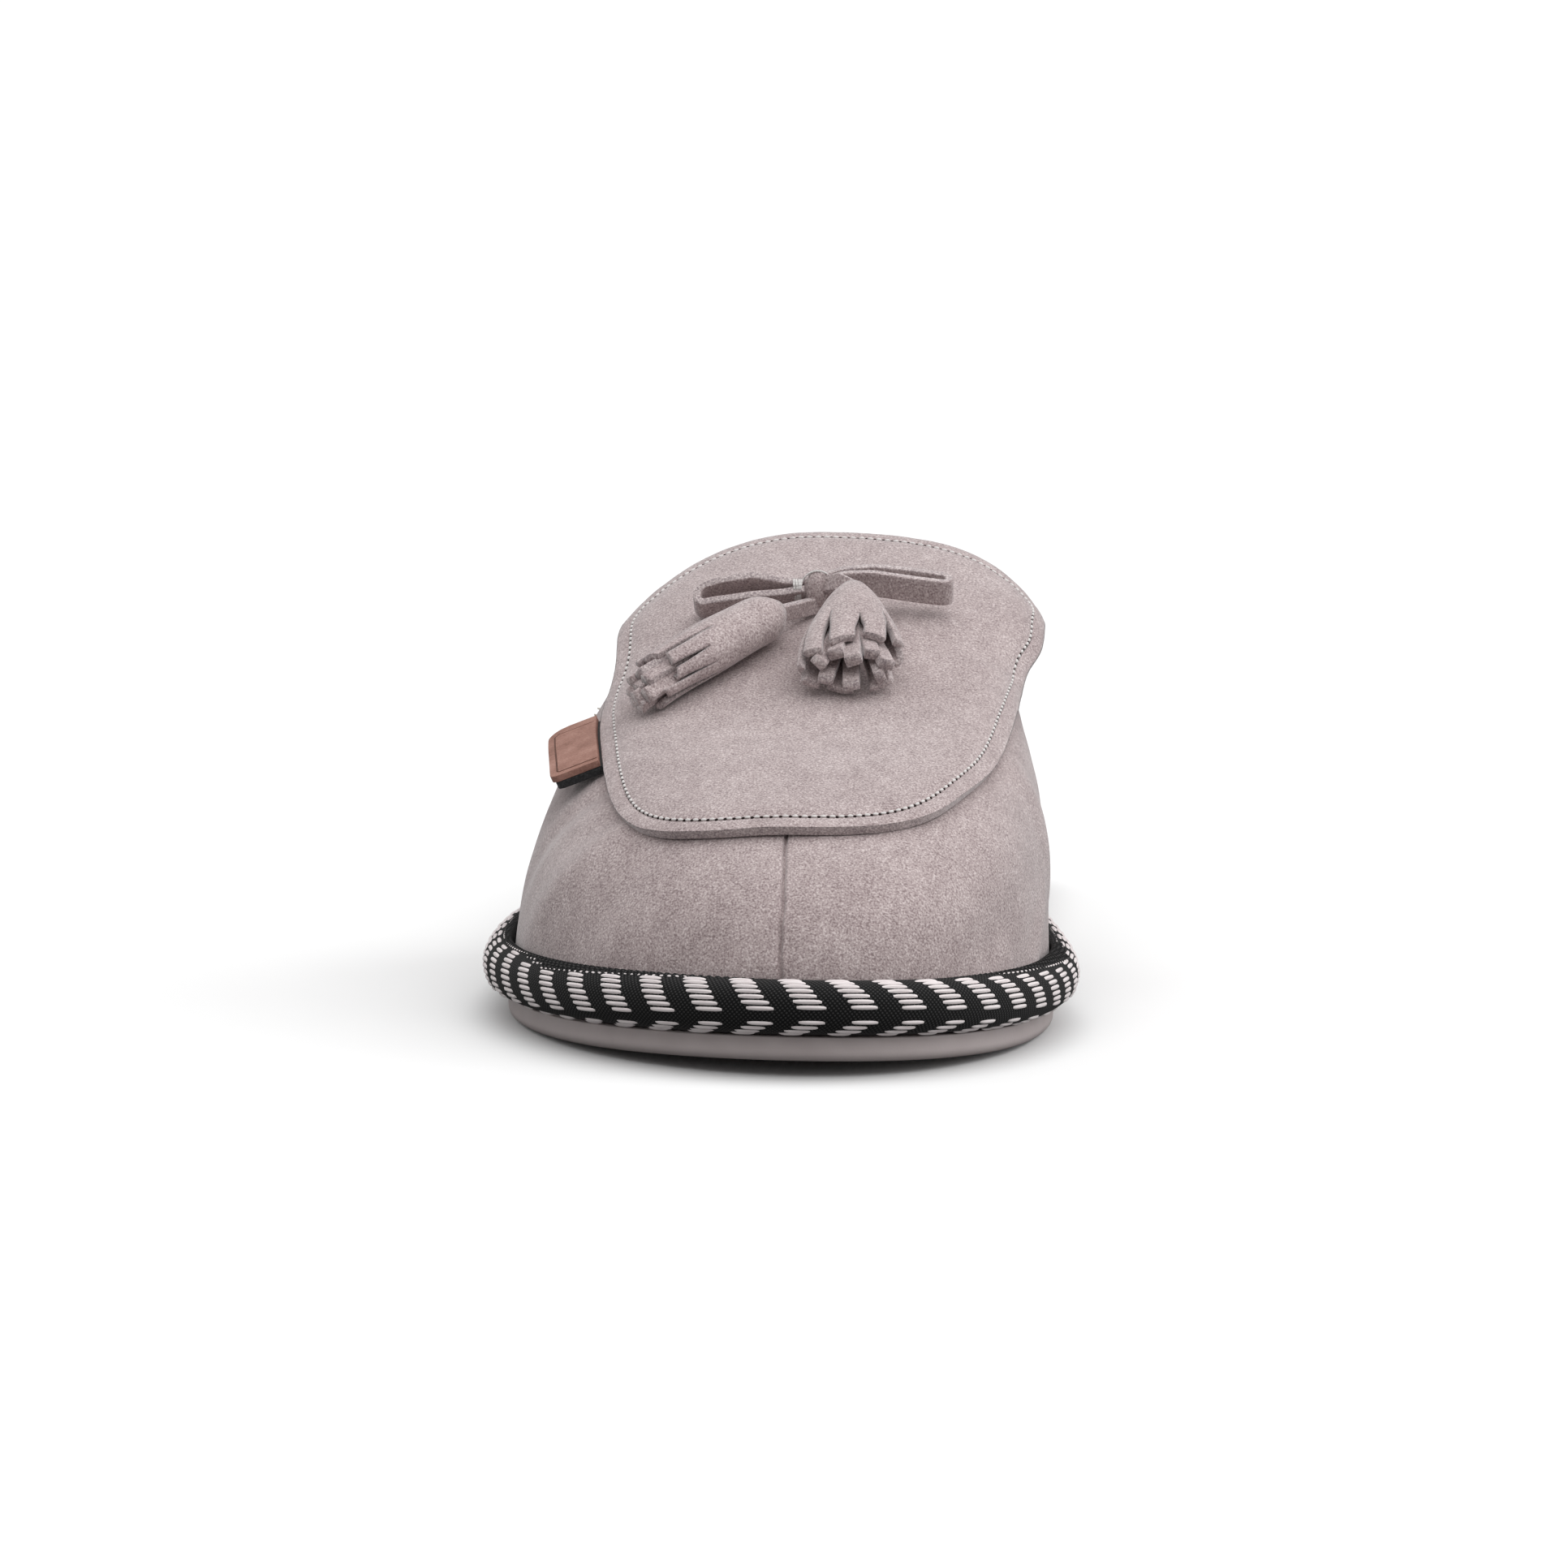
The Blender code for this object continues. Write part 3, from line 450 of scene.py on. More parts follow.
def bed_relief(x, y, from_edge, on_top):
    """The shallow cup under the foot, and the wool's curls on top of it."""
    left, right = feather_sides(np.clip(y, 0, FEATHER_LENGTH))
    share = np.clip((2 * x - left - right) / np.maximum(right - left, UPPER_WALL), -1, 1)
    curls = wool_height(np.column_stack([x, y, np.zeros_like(x)]))
    trodden = 1 - TRODDEN * smoothstep(from_edge / TRODDEN_FROM_EDGE)
    pile = FLEECE_RELIEF * trodden * (curls - 0.6)
    return np.where(on_top == 1, pile - INSOLE_CUP * (1 - share**2), 0)


bed = bmesh.new()
bed_form = slab_place(
    bed_margin, lambda y: seat_level(y) + CLEARANCE, bed_top, CLEARANCE, INSOLE_EDGE_ROUND, bed_relief
)
grid_onto(bed, *BED_GRID, bed_form)
footbed_fleece = finish_piece("footbed_fleece", bed, [wool_fleece])
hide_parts("insole")

lock_rng = np.random.default_rng(3)
lock_round = lock_rng.uniform(0, 1, BED_LOCKS)
lock_in = BED_LOCK_REACH * np.sqrt(lock_rng.uniform(0.02, 1.0, BED_LOCKS))
bed_roots = bed_form(lock_round, lock_in)
bed_locks = bmesh.new()
add_locks(bed_locks, bed_roots, np.tile((0.0, 0.0, BED_LOCK_STAND), (BED_LOCKS, 1)), 4)
finish_piece("footbed_locks", bed_locks, [wool_fleece], merge=False)

# The braid roll
# A black tape with floats of pale yarn woven into it as a row of arrows, folded over a filler cord and sewn
# round the edge of the sole. Its scalloped selvedge stands up against the suede, with a line of tiny pale
# picks along it.

ROLL_HEIGHT = 0.0095
ROLL_FULLNESS = 2.3
ROLL_SAMPLES = 401
ARROW_PITCH = 0.0091
ARROW_PHASE = 0.0025
PATTERN_AT_TOE = 0.0082
PATTERN_TOP_ALONG = 0.012
PATTERN_DROP = 0.0042
EXTRA_ROWS = 3
DROP_END = 0.095
UPPER_ARM = {"rows": 7, "first": 0.0010, "spacing": 0.00102, "shift": 0.00072, "float": 0.0052}
LOWER_ARM = {"rows": 4, "first": 0.0017, "spacing": 0.00110, "shift": 0.00130, "float": 0.0050}
FLOAT_WIDTH = 0.00086
FLOAT_RISE = 0.00032
FLOAT_UNEVEN = 0.00008
FLOAT_SHORTEST, FLOAT_LONGEST = 0.94, 1.05
PICK_LENGTH = 0.0010
PICK_WIDTH = 0.0005
PICK_PITCH = 0.0016
PICK_RISE_SHARE = 0.8
PICKS_FROM = 0.0012
SCALLOP_PITCH = 0.00175
SCALLOP_RISE = 0.00060
SELVEDGE = 0.0010
TAPE_GRID = (1800, 26)
RIB_PITCH = 0.00062
PICK_LINE_PITCH = 0.00055
RIB_TURN = math.radians(38)
PICK_LINE_TURN = math.radians(-50)
FILAMENT = (0.004, 0.00014)
TAPE_TOP_FADE = 0.001
WAVE_PERIOD = 0.314


def roll_curve():
    """The roll's half round section from its top inner edge to its foot: out, up and the distance run."""
    angles = np.linspace(math.pi / 2, -math.pi / 2, ROLL_SAMPLES)
    out = ROLL_BULGE * np.maximum(np.cos(angles), 0) ** (2 / ROLL_FULLNESS)
    up = ROLL_HEIGHT / 2 * (1 + np.sign(angles) * np.abs(np.sin(angles)) ** (2 / ROLL_FULLNESS))
    out = np.maximum(out, 2 * CLEARANCE)
    run = np.concatenate([[0], np.cumsum(np.hypot(np.diff(out), np.diff(up)))])
    return out, up, run


ROLL_OUT, ROLL_UP, ROLL_RUN = roll_curve()
TAPE_WIDTH = ROLL_RUN[-1]
ROLL_LENGTHS = loop_lengths(ROLL_BULGE)
ARROWS = round(ROLL_LENGTHS[-1] / ARROW_PITCH)


def on_tape(along, down, lift):
    """The place on the roll at a distance along the tape, medially from the toe, and down from its top."""
    point, normal = round_loop(along, ROLL_LENGTHS)
    step = TAPE_WIDTH / (ROLL_SAMPLES - 1)
    out, up = (np.interp(down, ROLL_RUN, way) for way in (ROLL_OUT, ROLL_UP))
    run_out, run_up = (
        np.interp(down + step, ROLL_RUN, way) - np.interp(down - step, ROLL_RUN, way)
        for way in (ROLL_OUT, ROLL_UP)
    )
    size = np.hypot(run_out, run_up)
    out = out - run_up / size * lift
    up = up + run_out / size * lift
    xy = point + normal * out[:, None]
    return np.column_stack([xy, seat_level(xy[:, 1]) + CLEARANCE + up])


def pattern_middle(along):
    """How far down the tape the arrows' tips run: lower along the sides than at the toe."""
    half = ROLL_LENGTHS[-1] / 2
    from_top = np.abs((along - PATTERN_TOP_ALONG + half) % (2 * half) - half)
    return PATTERN_AT_TOE + PATTERN_DROP * smoothstep(from_top / DROP_END)


def upper_rows(along):
    """How many floats the upper arm of an arrow shows: more along the sides, where its tip lies lower."""
    spare = (pattern_middle(along) - PATTERN_AT_TOE) / PATTERN_DROP
    extra = np.floor(EXTRA_ROWS * smoothstep((spare - 0.80) / 0.2) + 0.5)
    return UPPER_ARM["rows"] + extra.astype(int)


def pattern_top(along):
    return pattern_middle(along) - UPPER_ARM["first"] - UPPER_ARM["spacing"] * (upper_rows(along) - 0.5)


def make_tape():
    """Woven polyester tape: black, with fine ribs and picks that cross, and a painted grey highlight on their
    tops.
    """
    material, coords = new_material(
        "woven_black_tape", Roughness=0.85, Sheen_Weight=0.05, Specular_IOR_Level=0.15
    )
    lines = []
    for pitch, turn in ((RIB_PITCH, RIB_TURN), (PICK_LINE_PITCH, PICK_LINE_TURN)):
        turned = add_node(material, "ShaderNodeMapping", {"Rotation": (0, 0, turn)}, {"Vector": coords["UV"]})
        wave = {"Scale": WAVE_PERIOD / pitch, "Distortion": 0.6, "Detail": 1, "Detail Scale": 2}
        lines.append(add_node(material, "ShaderNodeTexWave", wave, {"Vector": turned.outputs["Vector"]}))
    crossing = {i: line.outputs["Fac"] for i, line in enumerate(lines)}
    weave_relief_and_highlight = add_node(material, "ShaderNodeMath", links=crossing, operation="MULTIPLY").outputs["Value"]
    # The weave raises the relief and paints its high tops grey as a highlight.
    return finish_look(
        material, weave_relief_and_highlight, ((0, "#0C0C0D"), (1, "#434242")), weave_relief_and_highlight, strength=0.7, depth=0.0002
    )


def make_yarn():
    """Pale yarn: soft white polyester with a rose tint, its filaments lying along each float."""
    material, coords = new_material(
        "pale_float_yarn", Roughness=0.6, Sheen_Weight=0.3, Specular_IOR_Level=0.35
    )
    drawn_out = {"Scale": (1 / FILAMENT[0], 1 / FILAMENT[1], 1)}
    stretched = add_node(material, "ShaderNodeMapping", drawn_out, {"Vector": coords["UV"]})
    filaments = add_node(
        material, "ShaderNodeTexNoise", {"Scale": 1, "Detail": 2}, {"Vector": stretched.outputs["Vector"]}
    ).outputs["Fac"]
    return finish_look(
        material, filaments, ((0.25, "#D8CCCC"), (0.6, "#F2EAEA")), filaments, strength=0.35, depth=0.0001
    )


def tape_place(along_share, down_share):
    """The tape's own surface, with scallops where its selvedge stands up."""
    along, down = along_share * ROLL_LENGTHS[-1], down_share * TAPE_WIDTH
    scallop = np.abs(np.sin(math.pi * along / SCALLOP_PITCH))
    on_edge = smoothstep((pattern_top(along) - down) / SELVEDGE)
    return on_tape(along, down, SCALLOP_RISE * scallop * on_edge * smoothstep(down / TAPE_TOP_FADE))


tape = bmesh.new()
# The second grid is the flat back, from the top edge straight to the foot.
for cells_down in (TAPE_GRID[1], 1):
    grid_onto(tape, TAPE_GRID[0], cells_down, tape_place, lambda u, v: (u * ROLL_LENGTHS[-1], v * TAPE_WIDTH))
braid_tape = finish_piece("braid_tape", tape, [make_tape()])
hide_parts("braid_roll")


def add_float(mesh_data, along, down, length, width, rise):
    """Adds one float of yarn: a patch that stands up from the tape and dips into it at its ends."""
    def place(u, v):
        shape = (1 - np.abs(2 * u - 1) ** 4) * np.sqrt(np.maximum(1 - (2 * v - 1) ** 2, 0))
        reach = along + (u - 0.5) * length
        across = down + (v - 0.5) * width * (1 - 0.35 * np.abs(2 * u - 1) ** 3)
        return on_tape(reach, across, rise * (1.25 * shape - 0.25))

    grid_onto(mesh_data, 8, 4, place, lambda u, v: (along + u * length, down + v * width))


floats = bmesh.new()
float_rng = np.random.default_rng(8)
spacing = ROLL_LENGTHS[-1] / ARROWS
for arrow in range(ARROWS):
    arrow_floats = bmesh.new()
    tip = ARROW_PHASE + arrow * spacing
    middle = float(pattern_middle(np.array(tip)))
    for arm, side, rows in ((UPPER_ARM, -1, upper_rows(tip)), (LOWER_ARM, 1, LOWER_ARM["rows"])):
        for row in range(rows):
            down = middle + side * (arm["first"] + arm["spacing"] * row)
            if not FLOAT_WIDTH < down < TAPE_WIDTH - FLOAT_WIDTH / 2:
                continue
            along = tip - arm["shift"] * row + float_rng.normal(0, FLOAT_UNEVEN)
            length = arm["float"] * float_rng.uniform(FLOAT_SHORTEST, FLOAT_LONGEST)
            add_float(arrow_floats, along, down, length, FLOAT_WIDTH, FLOAT_RISE)
    join_part(floats, arrow_floats)
pick_count = round(ROLL_LENGTHS[-1] / PICK_PITCH)
for pick in range(pick_count):
    along = pick * ROLL_LENGTHS[-1] / pick_count
    down = float(pattern_top(np.array(along))) - PICK_WIDTH
    lowered = float(pattern_middle(np.array(along))) - PATTERN_AT_TOE
    if down > PICK_WIDTH and lowered > PICKS_FROM:
        pick_float = bmesh.new()
        add_float(pick_float, along, down, PICK_LENGTH, PICK_WIDTH, FLOAT_RISE * PICK_RISE_SHARE)
        join_part(floats, pick_float)
finish_piece("braid_floats", floats, [make_yarn()], merge=False)

# The suede upper
# Mauve-grey suede, about 1.2 mm thick, pulled over the last in two halves that meet in a closed seam at the
# toe. The leather draws in a little along that seam, and soft creases run where the foot bends it.

THROAT_HEIGHT = 0.066
FAN_SHARE = 0.20
TOE_POWER = 3.0
INSTEP_SHIFT_SHARE = 0.045
THROAT_SHARE = 0.385
COLLAR_HOLLOW = 0.9
SUEDE_SKIN = 0.0012
SEAM_FOOT_X = 0.0040
SEAM_TOP_X = 0.0036
SEAM_TOP_Y = 0.021
SEAM_END_Y = 0.030
SEAM_FADE = 0.006
SEAM_DEPTH = 0.00105
SEAM_HALF = 0.00032
SEAM_PILLOW = 0.00018
SEAM_PILLOW_HALF = 0.0026
SEAM_WANDER = ({"size": 0.00012, "pitch": 0.0021, "start": 0}, {"size": 0.00008, "pitch": 0.0009, "start": 1})
PUCKER_PITCH = 0.0011
PUCKER_SHARE = 0.5
RIB_CROWDING = 3.2
FAN_DIRECTIONS = 1441
HALVINGS = 40
SKIN_GRID = (480, 80)
SKIN_WAVES = ((0.00030, 0.022), (0.00008, 0.006))
SUEDE_NAP = 0.00036
SUEDE_BRUSHING = 0.011
SUEDE_STROKE = 0.0022
TOE_SAMPLES = 400

INSTEP_TABLE = (
    {"along": 0.00, "height": 0.560, "lateral": 2.5, "medial": 3.6},
    {"along": 0.10, "height": 0.640, "lateral": 2.5, "medial": 3.8},
    {"along": 0.20, "height": 0.740, "lateral": 2.6, "medial": 4.1},
    {"along": 0.30, "height": 0.870, "lateral": 2.6, "medial": 4.6},
    {"along": 0.385, "height": 1.000, "lateral": 2.5, "medial": 4.8},
    {"along": 0.46, "height": 1.098, "lateral": 2.5, "medial": 4.7},
    {"along": 0.60, "height": 1.252, "lateral": 2.5, "medial": 4.4},
)

# Soft creases. From and to are distances round the foot from the toe seam, medially
# positive, with the heights above the sole there; a positive rise is a ridge and a negative one a trough.
CREASES = (
    {"from": (-0.070, 0.016), "to": (-0.048, 0.040), "half": 0.0050, "rise": 0.0010},
    {"from": (-0.052, 0.014), "to": (-0.034, 0.034), "half": 0.0050, "rise": -0.0007},
    {"from": (-0.090, 0.020), "to": (-0.076, 0.046), "half": 0.0055, "rise": -0.0008},
    {"from": (-0.020, 0.010), "to": (-0.013, 0.026), "half": 0.0055, "rise": -0.0005},
    {"from": (-0.012, 0.014), "to": (-0.004, 0.022), "half": 0.0035, "rise": 0.0003},
    {"from": (0.012, 0.020), "to": (0.030, 0.030), "half": 0.0060, "rise": 0.0005},
    {"from": (0.030, 0.010), "to": (0.052, 0.013), "half": 0.0030, "rise": 0.0006},
    {"from": (0.036, 0.018), "to": (0.060, 0.026), "half": 0.0050, "rise": -0.0006},
    {"from": (0.060, 0.010), "to": (0.078, 0.026), "half": 0.0035, "rise": 0.0009},
    {"from": (0.068, 0.008), "to": (0.088, 0.020), "half": 0.0040, "rise": -0.0009},
    {"from": (0.082, 0.022), "to": (0.100, 0.044), "half": 0.0060, "rise": 0.0009},
)

instep_height = column_curve(INSTEP_TABLE, "height")
lateral_power = column_curve(INSTEP_TABLE, "lateral")
medial_power = column_curve(INSTEP_TABLE, "medial")
INSTEP_X = INSTEP_SHIFT_SHARE * BALL_WIDTH
FAN_Y = FAN_SHARE * FEATHER_LENGTH
FAN_ANGLES = np.linspace(-math.pi, 0, FAN_DIRECTIONS)


def side_power(y, medial):
    along = y / FEATHER_LENGTH
    return np.where(medial, medial_power(along), lateral_power(along))


def fan_power(across, forward):
    """How square the fan's profile is in this direction, from the flank's power to the toe's."""
    side = side_power(np.full_like(across, FAN_Y), across > 0)
    return side + (TOE_POWER - side) * forward**2


def find_fan_reach():
    """The distance from the fan's centre to the feather line in each of the fan's directions."""
    near, far = np.zeros_like(FAN_ANGLES), np.full_like(FAN_ANGLES, FEATHER_LENGTH)
    for _ in range(HALVINGS):
        middle = (near + far) / 2
        x, y = INSTEP_X + np.cos(FAN_ANGLES) * middle, FAN_Y + np.sin(FAN_ANGLES) * middle
        left, right = feather_sides(np.clip(y, 0, FEATHER_LENGTH))
        inside = (y > 0) & (left < x) & (x < right)
        near, far = np.where(inside, middle, near), np.where(inside, far, middle)
    return near


FAN_REACH = find_fan_reach()


def surface_level(y, reach, power):
    """The last's height where reach is 0 on the instep line and 1 on the feather line."""
    base = seat_level(y) + CLEARANCE
    rise = instep_height(y / FEATHER_LENGTH) * THROAT_HEIGHT - base
    return base + rise * np.maximum(1 - np.clip(np.abs(reach), 0, 1) ** power, 0.0) ** (1 / power)


# How far round the feather line from the toe tip the wings end and the toe seam stands, lateral as negative.
from_toe_lateral = FEATHER_RUN[-1] - FEATHER_RUN[::-1]
MEDIAL_WING = np.interp(WING_SHARE * FEATHER_LENGTH, samples, FEATHER_RUN[: len(samples)])
LATERAL_WING = np.interp(WING_SHARE * FEATHER_LENGTH, samples, from_toe_lateral[: len(samples)])
SEAM_ROUND = -np.interp(-SEAM_FOOT_X, -lateral_edge[:TOE_SAMPLES], from_toe_lateral[:TOE_SAMPLES])


def upper_point(from_seam, up_share):
    """The upper's outer surface, a distance round from the toe seam and a share of the way up its rib."""
    base, _ = round_loop(SEAM_ROUND + from_seam, FEATHER_RUN)
    x, y = base[:, 0], base[:, 1]
    throat_y, wing_y = THROAT_SHARE * FEATHER_LENGTH, WING_SHARE * FEATHER_LENGTH
    medial = SEAM_ROUND + from_seam > 0
    in_fan = y < FAN_Y
    aside, ahead = x - INSTEP_X, y - FAN_Y
    distance = np.hypot(aside, ahead)
    power = np.where(in_fan, fan_power(aside / distance, ahead / distance), side_power(y, medial))
    angle = math.pi / 2 * up_share
    reach = np.maximum(np.cos(angle), 0.0) ** (2 / power)
    top_y = FAN_Y + (y - FAN_Y) * (throat_y - FAN_Y) / (wing_y - FAN_Y)
    row_y = y + (top_y - y) * np.sin(angle) ** (2 / power * COLLAR_HOLLOW)
    left, right = feather_sides(row_y)
    edge = np.where(medial, right, left)
    place_x = np.where(in_fan, INSTEP_X + aside * reach, INSTEP_X + (edge - INSTEP_X) * reach)
    place_y = np.where(in_fan, FAN_Y + ahead * reach, row_y)
    power = np.where(in_fan, power, side_power(row_y, medial))
    return np.column_stack([place_x, place_y, surface_level(place_y, reach, power)])


def round_share_to_seam(round_share):
    """Ribs stand close together at the toe seam and further apart towards the wings."""
    side = 2 * round_share - 1
    spread = np.sinh(RIB_CROWDING * np.abs(side)) / math.sinh(RIB_CROWDING)
    return np.where(side > 0, (MEDIAL_WING - SEAM_ROUND) * spread, -(LATERAL_WING + SEAM_ROUND) * spread)


def unevenness(places, waves):
    """Slow noise at each place: a sum of waves, each with its height and its size."""
    spots = [Vector(place) for place in places]
    return np.array([sum(rise * noise.noise(spot / size) for rise, size in waves) for spot in spots])


def skin_relief(from_seam, places):
    """The seam's groove and pillow, the listed creases, and the slight unevenness of lasted leather."""
    x, y, z = places.T
    wander = sum(wave["size"] * np.sin(z / wave["pitch"] + wave["start"]) for wave in SEAM_WANDER)
    seam_x = SEAM_FOOT_X + (SEAM_TOP_X - SEAM_FOOT_X) * y / SEAM_TOP_Y + wander
    at_seam = smoothstep((SEAM_END_Y - y) / SEAM_FADE)
    from_groove = np.abs(x - seam_x)
    relief = -at_seam * SEAM_DEPTH * np.exp(-((from_groove / SEAM_HALF) ** 2))
    puckers = 1 + PUCKER_SHARE * np.sin(z / PUCKER_PITCH)
    relief -= at_seam * SEAM_PILLOW * puckers * np.exp(-((from_groove / SEAM_PILLOW_HALF) ** 2))
    for crease in CREASES:
        (start, low), (end, high) = crease["from"], crease["to"]
        run, climb = end - start, high - low
        share = ((from_seam - start) * run + (z - low) * climb) / (run**2 + climb**2)
        held = np.clip(share, 0, 1)
        away = np.hypot(from_seam - start - held * run, z - low - held * climb)
        fading = np.sin(math.pi * (0.15 + 0.7 * held))
        relief += crease["rise"] * np.exp(-((away / crease["half"]) ** 2)) * fading
    return relief + unevenness(places, SKIN_WAVES)


def make_suede(name, darkest, dark, light, lightest):
    """Brushed suede: short nap whose fibres stand light on dark, brushed in patches, with a soft sheen."""
    material, coords = new_material(
        name, Roughness=0.92, Sheen_Weight=0.6, Sheen_Roughness=0.4, Specular_IOR_Level=0.2
    )
    where = {"Vector": coords["Object"]}
    patches = {"Scale": 1 / SUEDE_BRUSHING, "Detail": 4, "Roughness": 0.6, "Distortion": 0.6}
    drawn_out = {"Rotation": (0, math.radians(28), 0), "Scale": (1.0, 0.6, 0.30)}
    nap = add_node(material, "ShaderNodeTexNoise", {"Scale": 1 / SUEDE_NAP, "Detail": 3}, where)
    brushed = add_node(material, "ShaderNodeTexNoise", patches, where)
    streaked = add_node(material, "ShaderNodeMapping", drawn_out, where).outputs["Vector"]
    stroke = {"Scale": 1 / SUEDE_STROKE, "Detail": 3}
    strokes = add_node(material, "ShaderNodeTexNoise", stroke, {"Vector": streaked})
    pair = {2: brushed.outputs["Fac"], 3: strokes.outputs["Fac"]}
    both = add_node(material, "ShaderNodeMix", {0: 0.50}, pair, data_type="FLOAT")
    pair = {2: both.outputs[0], 3: nap.outputs["Fac"]}
    mixed = add_node(material, "ShaderNodeMix", {0: 0.74}, pair, data_type="FLOAT").outputs[0]
    stops = ((0.39, darkest), (0.46, dark), (0.55, light), (0.62, lightest))
    return finish_look(
        material, mixed, stops, mixed, strength=0.55, depth=0.00035
    )


brushed_suede = make_suede("brushed_suede", "#8F7F7F", "#AD9D9D", "#BBACAB", "#D6C9C8")
cut_suede = make_suede("cut_suede_edge", "#94878A", "#AFA2A2", "#C4B7B6", "#DDD2D1")


def add_wall(piece, thickness, offset, rim_material=0):
    """Gives an open sheet its thickness: offset -1 grows it inwards and +1 outwards."""
    wall = piece.modifiers.new("wall", "SOLIDIFY")
    wall.thickness = thickness
    wall.offset = offset
    wall.use_even_offset = False
    wall.material_offset_rim = rim_material
    crisp = piece.modifiers.new("crisp_cut_edge", "WEIGHTED_NORMAL")
    crisp.mode = "FACE_AREA"
    crisp.weight = 80


skin = bmesh.new()
skin_round = []


def skin_place(round_share, up_share):
    from_seam = round_share_to_seam(round_share)
    skin_round.append(from_seam)
    return upper_point(from_seam, up_share)


skin_verts = grid_onto(skin, *SKIN_GRID, skin_place)
skin.normal_update()
skin_lift = skin_relief(skin_round[0], np.array([vert.co for vert in skin_verts]))
for vert, lift in zip(skin_verts, skin_lift):
    vert.co += vert.normal * lift
upper_suede = finish_piece("upper_suede", skin, [brushed_suede, cut_suede], closed=False)
add_wall(upper_suede, SUEDE_SKIN, -1, rim_material=1)
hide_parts("upper")

# The fleece lining
# The same cream wool as the footbed's, sewn in behind the suede with its pile towards the foot. Its edge
# shows as a line of fluff along the collar.

LINING_BACK = 0.0003
LINING_GRID = (220, 50)
COLLAR_LOCKS = 1500
COLLAR_LOCKS_UP = (0.02, 0.985)
COLLAR_LOCKS_IN = 0.0018
COLLAR_RIM = 0.999
COLLAR_BEHIND_RIM = 0.97
COLLAR_LOCK_OUT = 0.5
COLLAR_LOCK_IN = 0.3
WALL_LOCKS = 2600
WALL_LOCKS_UP = (0.05, 0.95)
WALL_LOCKS_IN = 0.0026
WALL_LOCKS_FROM = 0.35
WALL_LOCK_STAND = 0.5
MIDDLE_HEIGHT_SHARE = 0.4


def towards_middle(points):
    """Directions from the upper's wall to a line low down in the middle of the foot."""
    low = points[:, 2] * MIDDLE_HEIGHT_SHARE
    return unit_rows(np.column_stack([np.full(len(points), INSTEP_X), points[:, 1], low]) - points)


lining = bmesh.new()
lining_verts = grid_onto(lining, *LINING_GRID, lambda u, v: upper_point(round_share_to_seam(u), v))
lining.normal_update()
for vert in lining_verts:
    vert.co -= vert.normal * (SUEDE_SKIN + LINING_BACK)
lining_fleece = finish_piece("lining_fleece", lining, [wool_fleece], closed=False)
add_wall(lining_fleece, UPPER_WALL - SUEDE_SKIN, -1)

lining_rng = np.random.default_rng(11)
LATERAL_END = -(LATERAL_WING + SEAM_ROUND)
MEDIAL_END = MEDIAL_WING - SEAM_ROUND
collar_side = lining_rng.integers(0, 2, COLLAR_LOCKS)
collar_up = lining_rng.uniform(*COLLAR_LOCKS_UP, COLLAR_LOCKS)
collar_from = np.where(collar_side == 0, LATERAL_END, MEDIAL_END) * COLLAR_RIM
collar_points = upper_point(collar_from, collar_up)
collar_outs = unit_rows(collar_points - upper_point(collar_from * COLLAR_BEHIND_RIM, collar_up))
inward = towards_middle(collar_points)
lining_locks = bmesh.new()
collar_lean = collar_outs * COLLAR_LOCK_OUT + inward * COLLAR_LOCK_IN
add_locks(lining_locks, collar_points + inward * COLLAR_LOCKS_IN, collar_lean, 12)
wall_from = np.where(
    lining_rng.integers(0, 2, WALL_LOCKS) == 0,
    LATERAL_END * lining_rng.uniform(WALL_LOCKS_FROM, 1, WALL_LOCKS),
    MEDIAL_END * lining_rng.uniform(WALL_LOCKS_FROM, 1, WALL_LOCKS),
)
wall_points = upper_point(wall_from, lining_rng.uniform(*WALL_LOCKS_UP, WALL_LOCKS))
inward = towards_middle(wall_points)
add_locks(lining_locks, wall_points + inward * WALL_LOCKS_IN, inward * WALL_LOCK_STAND, 13)
finish_piece("lining_locks", lining_locks, [wool_fleece], merge=False)

# The plug and tongue
# One piece of the same suede, laid over the vamp with its edge cut raw and sewn down 3 mm inside it. Past
# the throat it runs on as the tongue, which flares over the collar, and the seam follows its edge all the
# way round.

PLUG_THICKNESS = 0.0018
PLUG_FRONT_SHARE = 0.083
TONGUE_END_SHARE = 0.540
PLUG_LATERAL_ROUND_SHARE = 0.39
PLUG_MEDIAL_ROUND_SHARE = 0.435
PLUG_BLUNTNESS = 2.45
TONGUE_FLARE_START_SHARE = 0.355
TONGUE_FLARE_END_SHARE = 0.460
TONGUE_LATERAL_FLARE = 0.18
TONGUE_MEDIAL_FLARE = 0.27
TONGUE_ROUND_SHARE = 0.20
TONGUE_BLUNTNESS = 2.2
PLUG_CLEARANCE = 0.0004
SEAM_INSET = 0.0029
STITCH_PITCH = 0.0017
STITCH_LENGTH = 0.00110
STITCH_RADIUS = 0.00030
STITCH_GROOVE = 0.00022
STITCH_GROOVE_HALF = 0.00070
EDGE_DROP = 0.00015
EDGE_DROP_HALF = 0.0005
EDGE_BAND = 0.15
EDGE_BAND_RINGS = 0.45
EDGE_POINT_COUNT = 900
EDGE_SAMPLES = 1201
PLUG_GRID = (520, 52)
PLUG_WAVES = ((0.00022, 0.017), (0.00008, 0.004))
PLUG_LOWEST = -0.0001
NORMAL_STEP = 0.0004
SPINE_MARGIN = 0.036
SPINE_STEP = 0.002
SEWN_PUFF = 0.00030
SEWN_PUFF_HALF = 0.0030

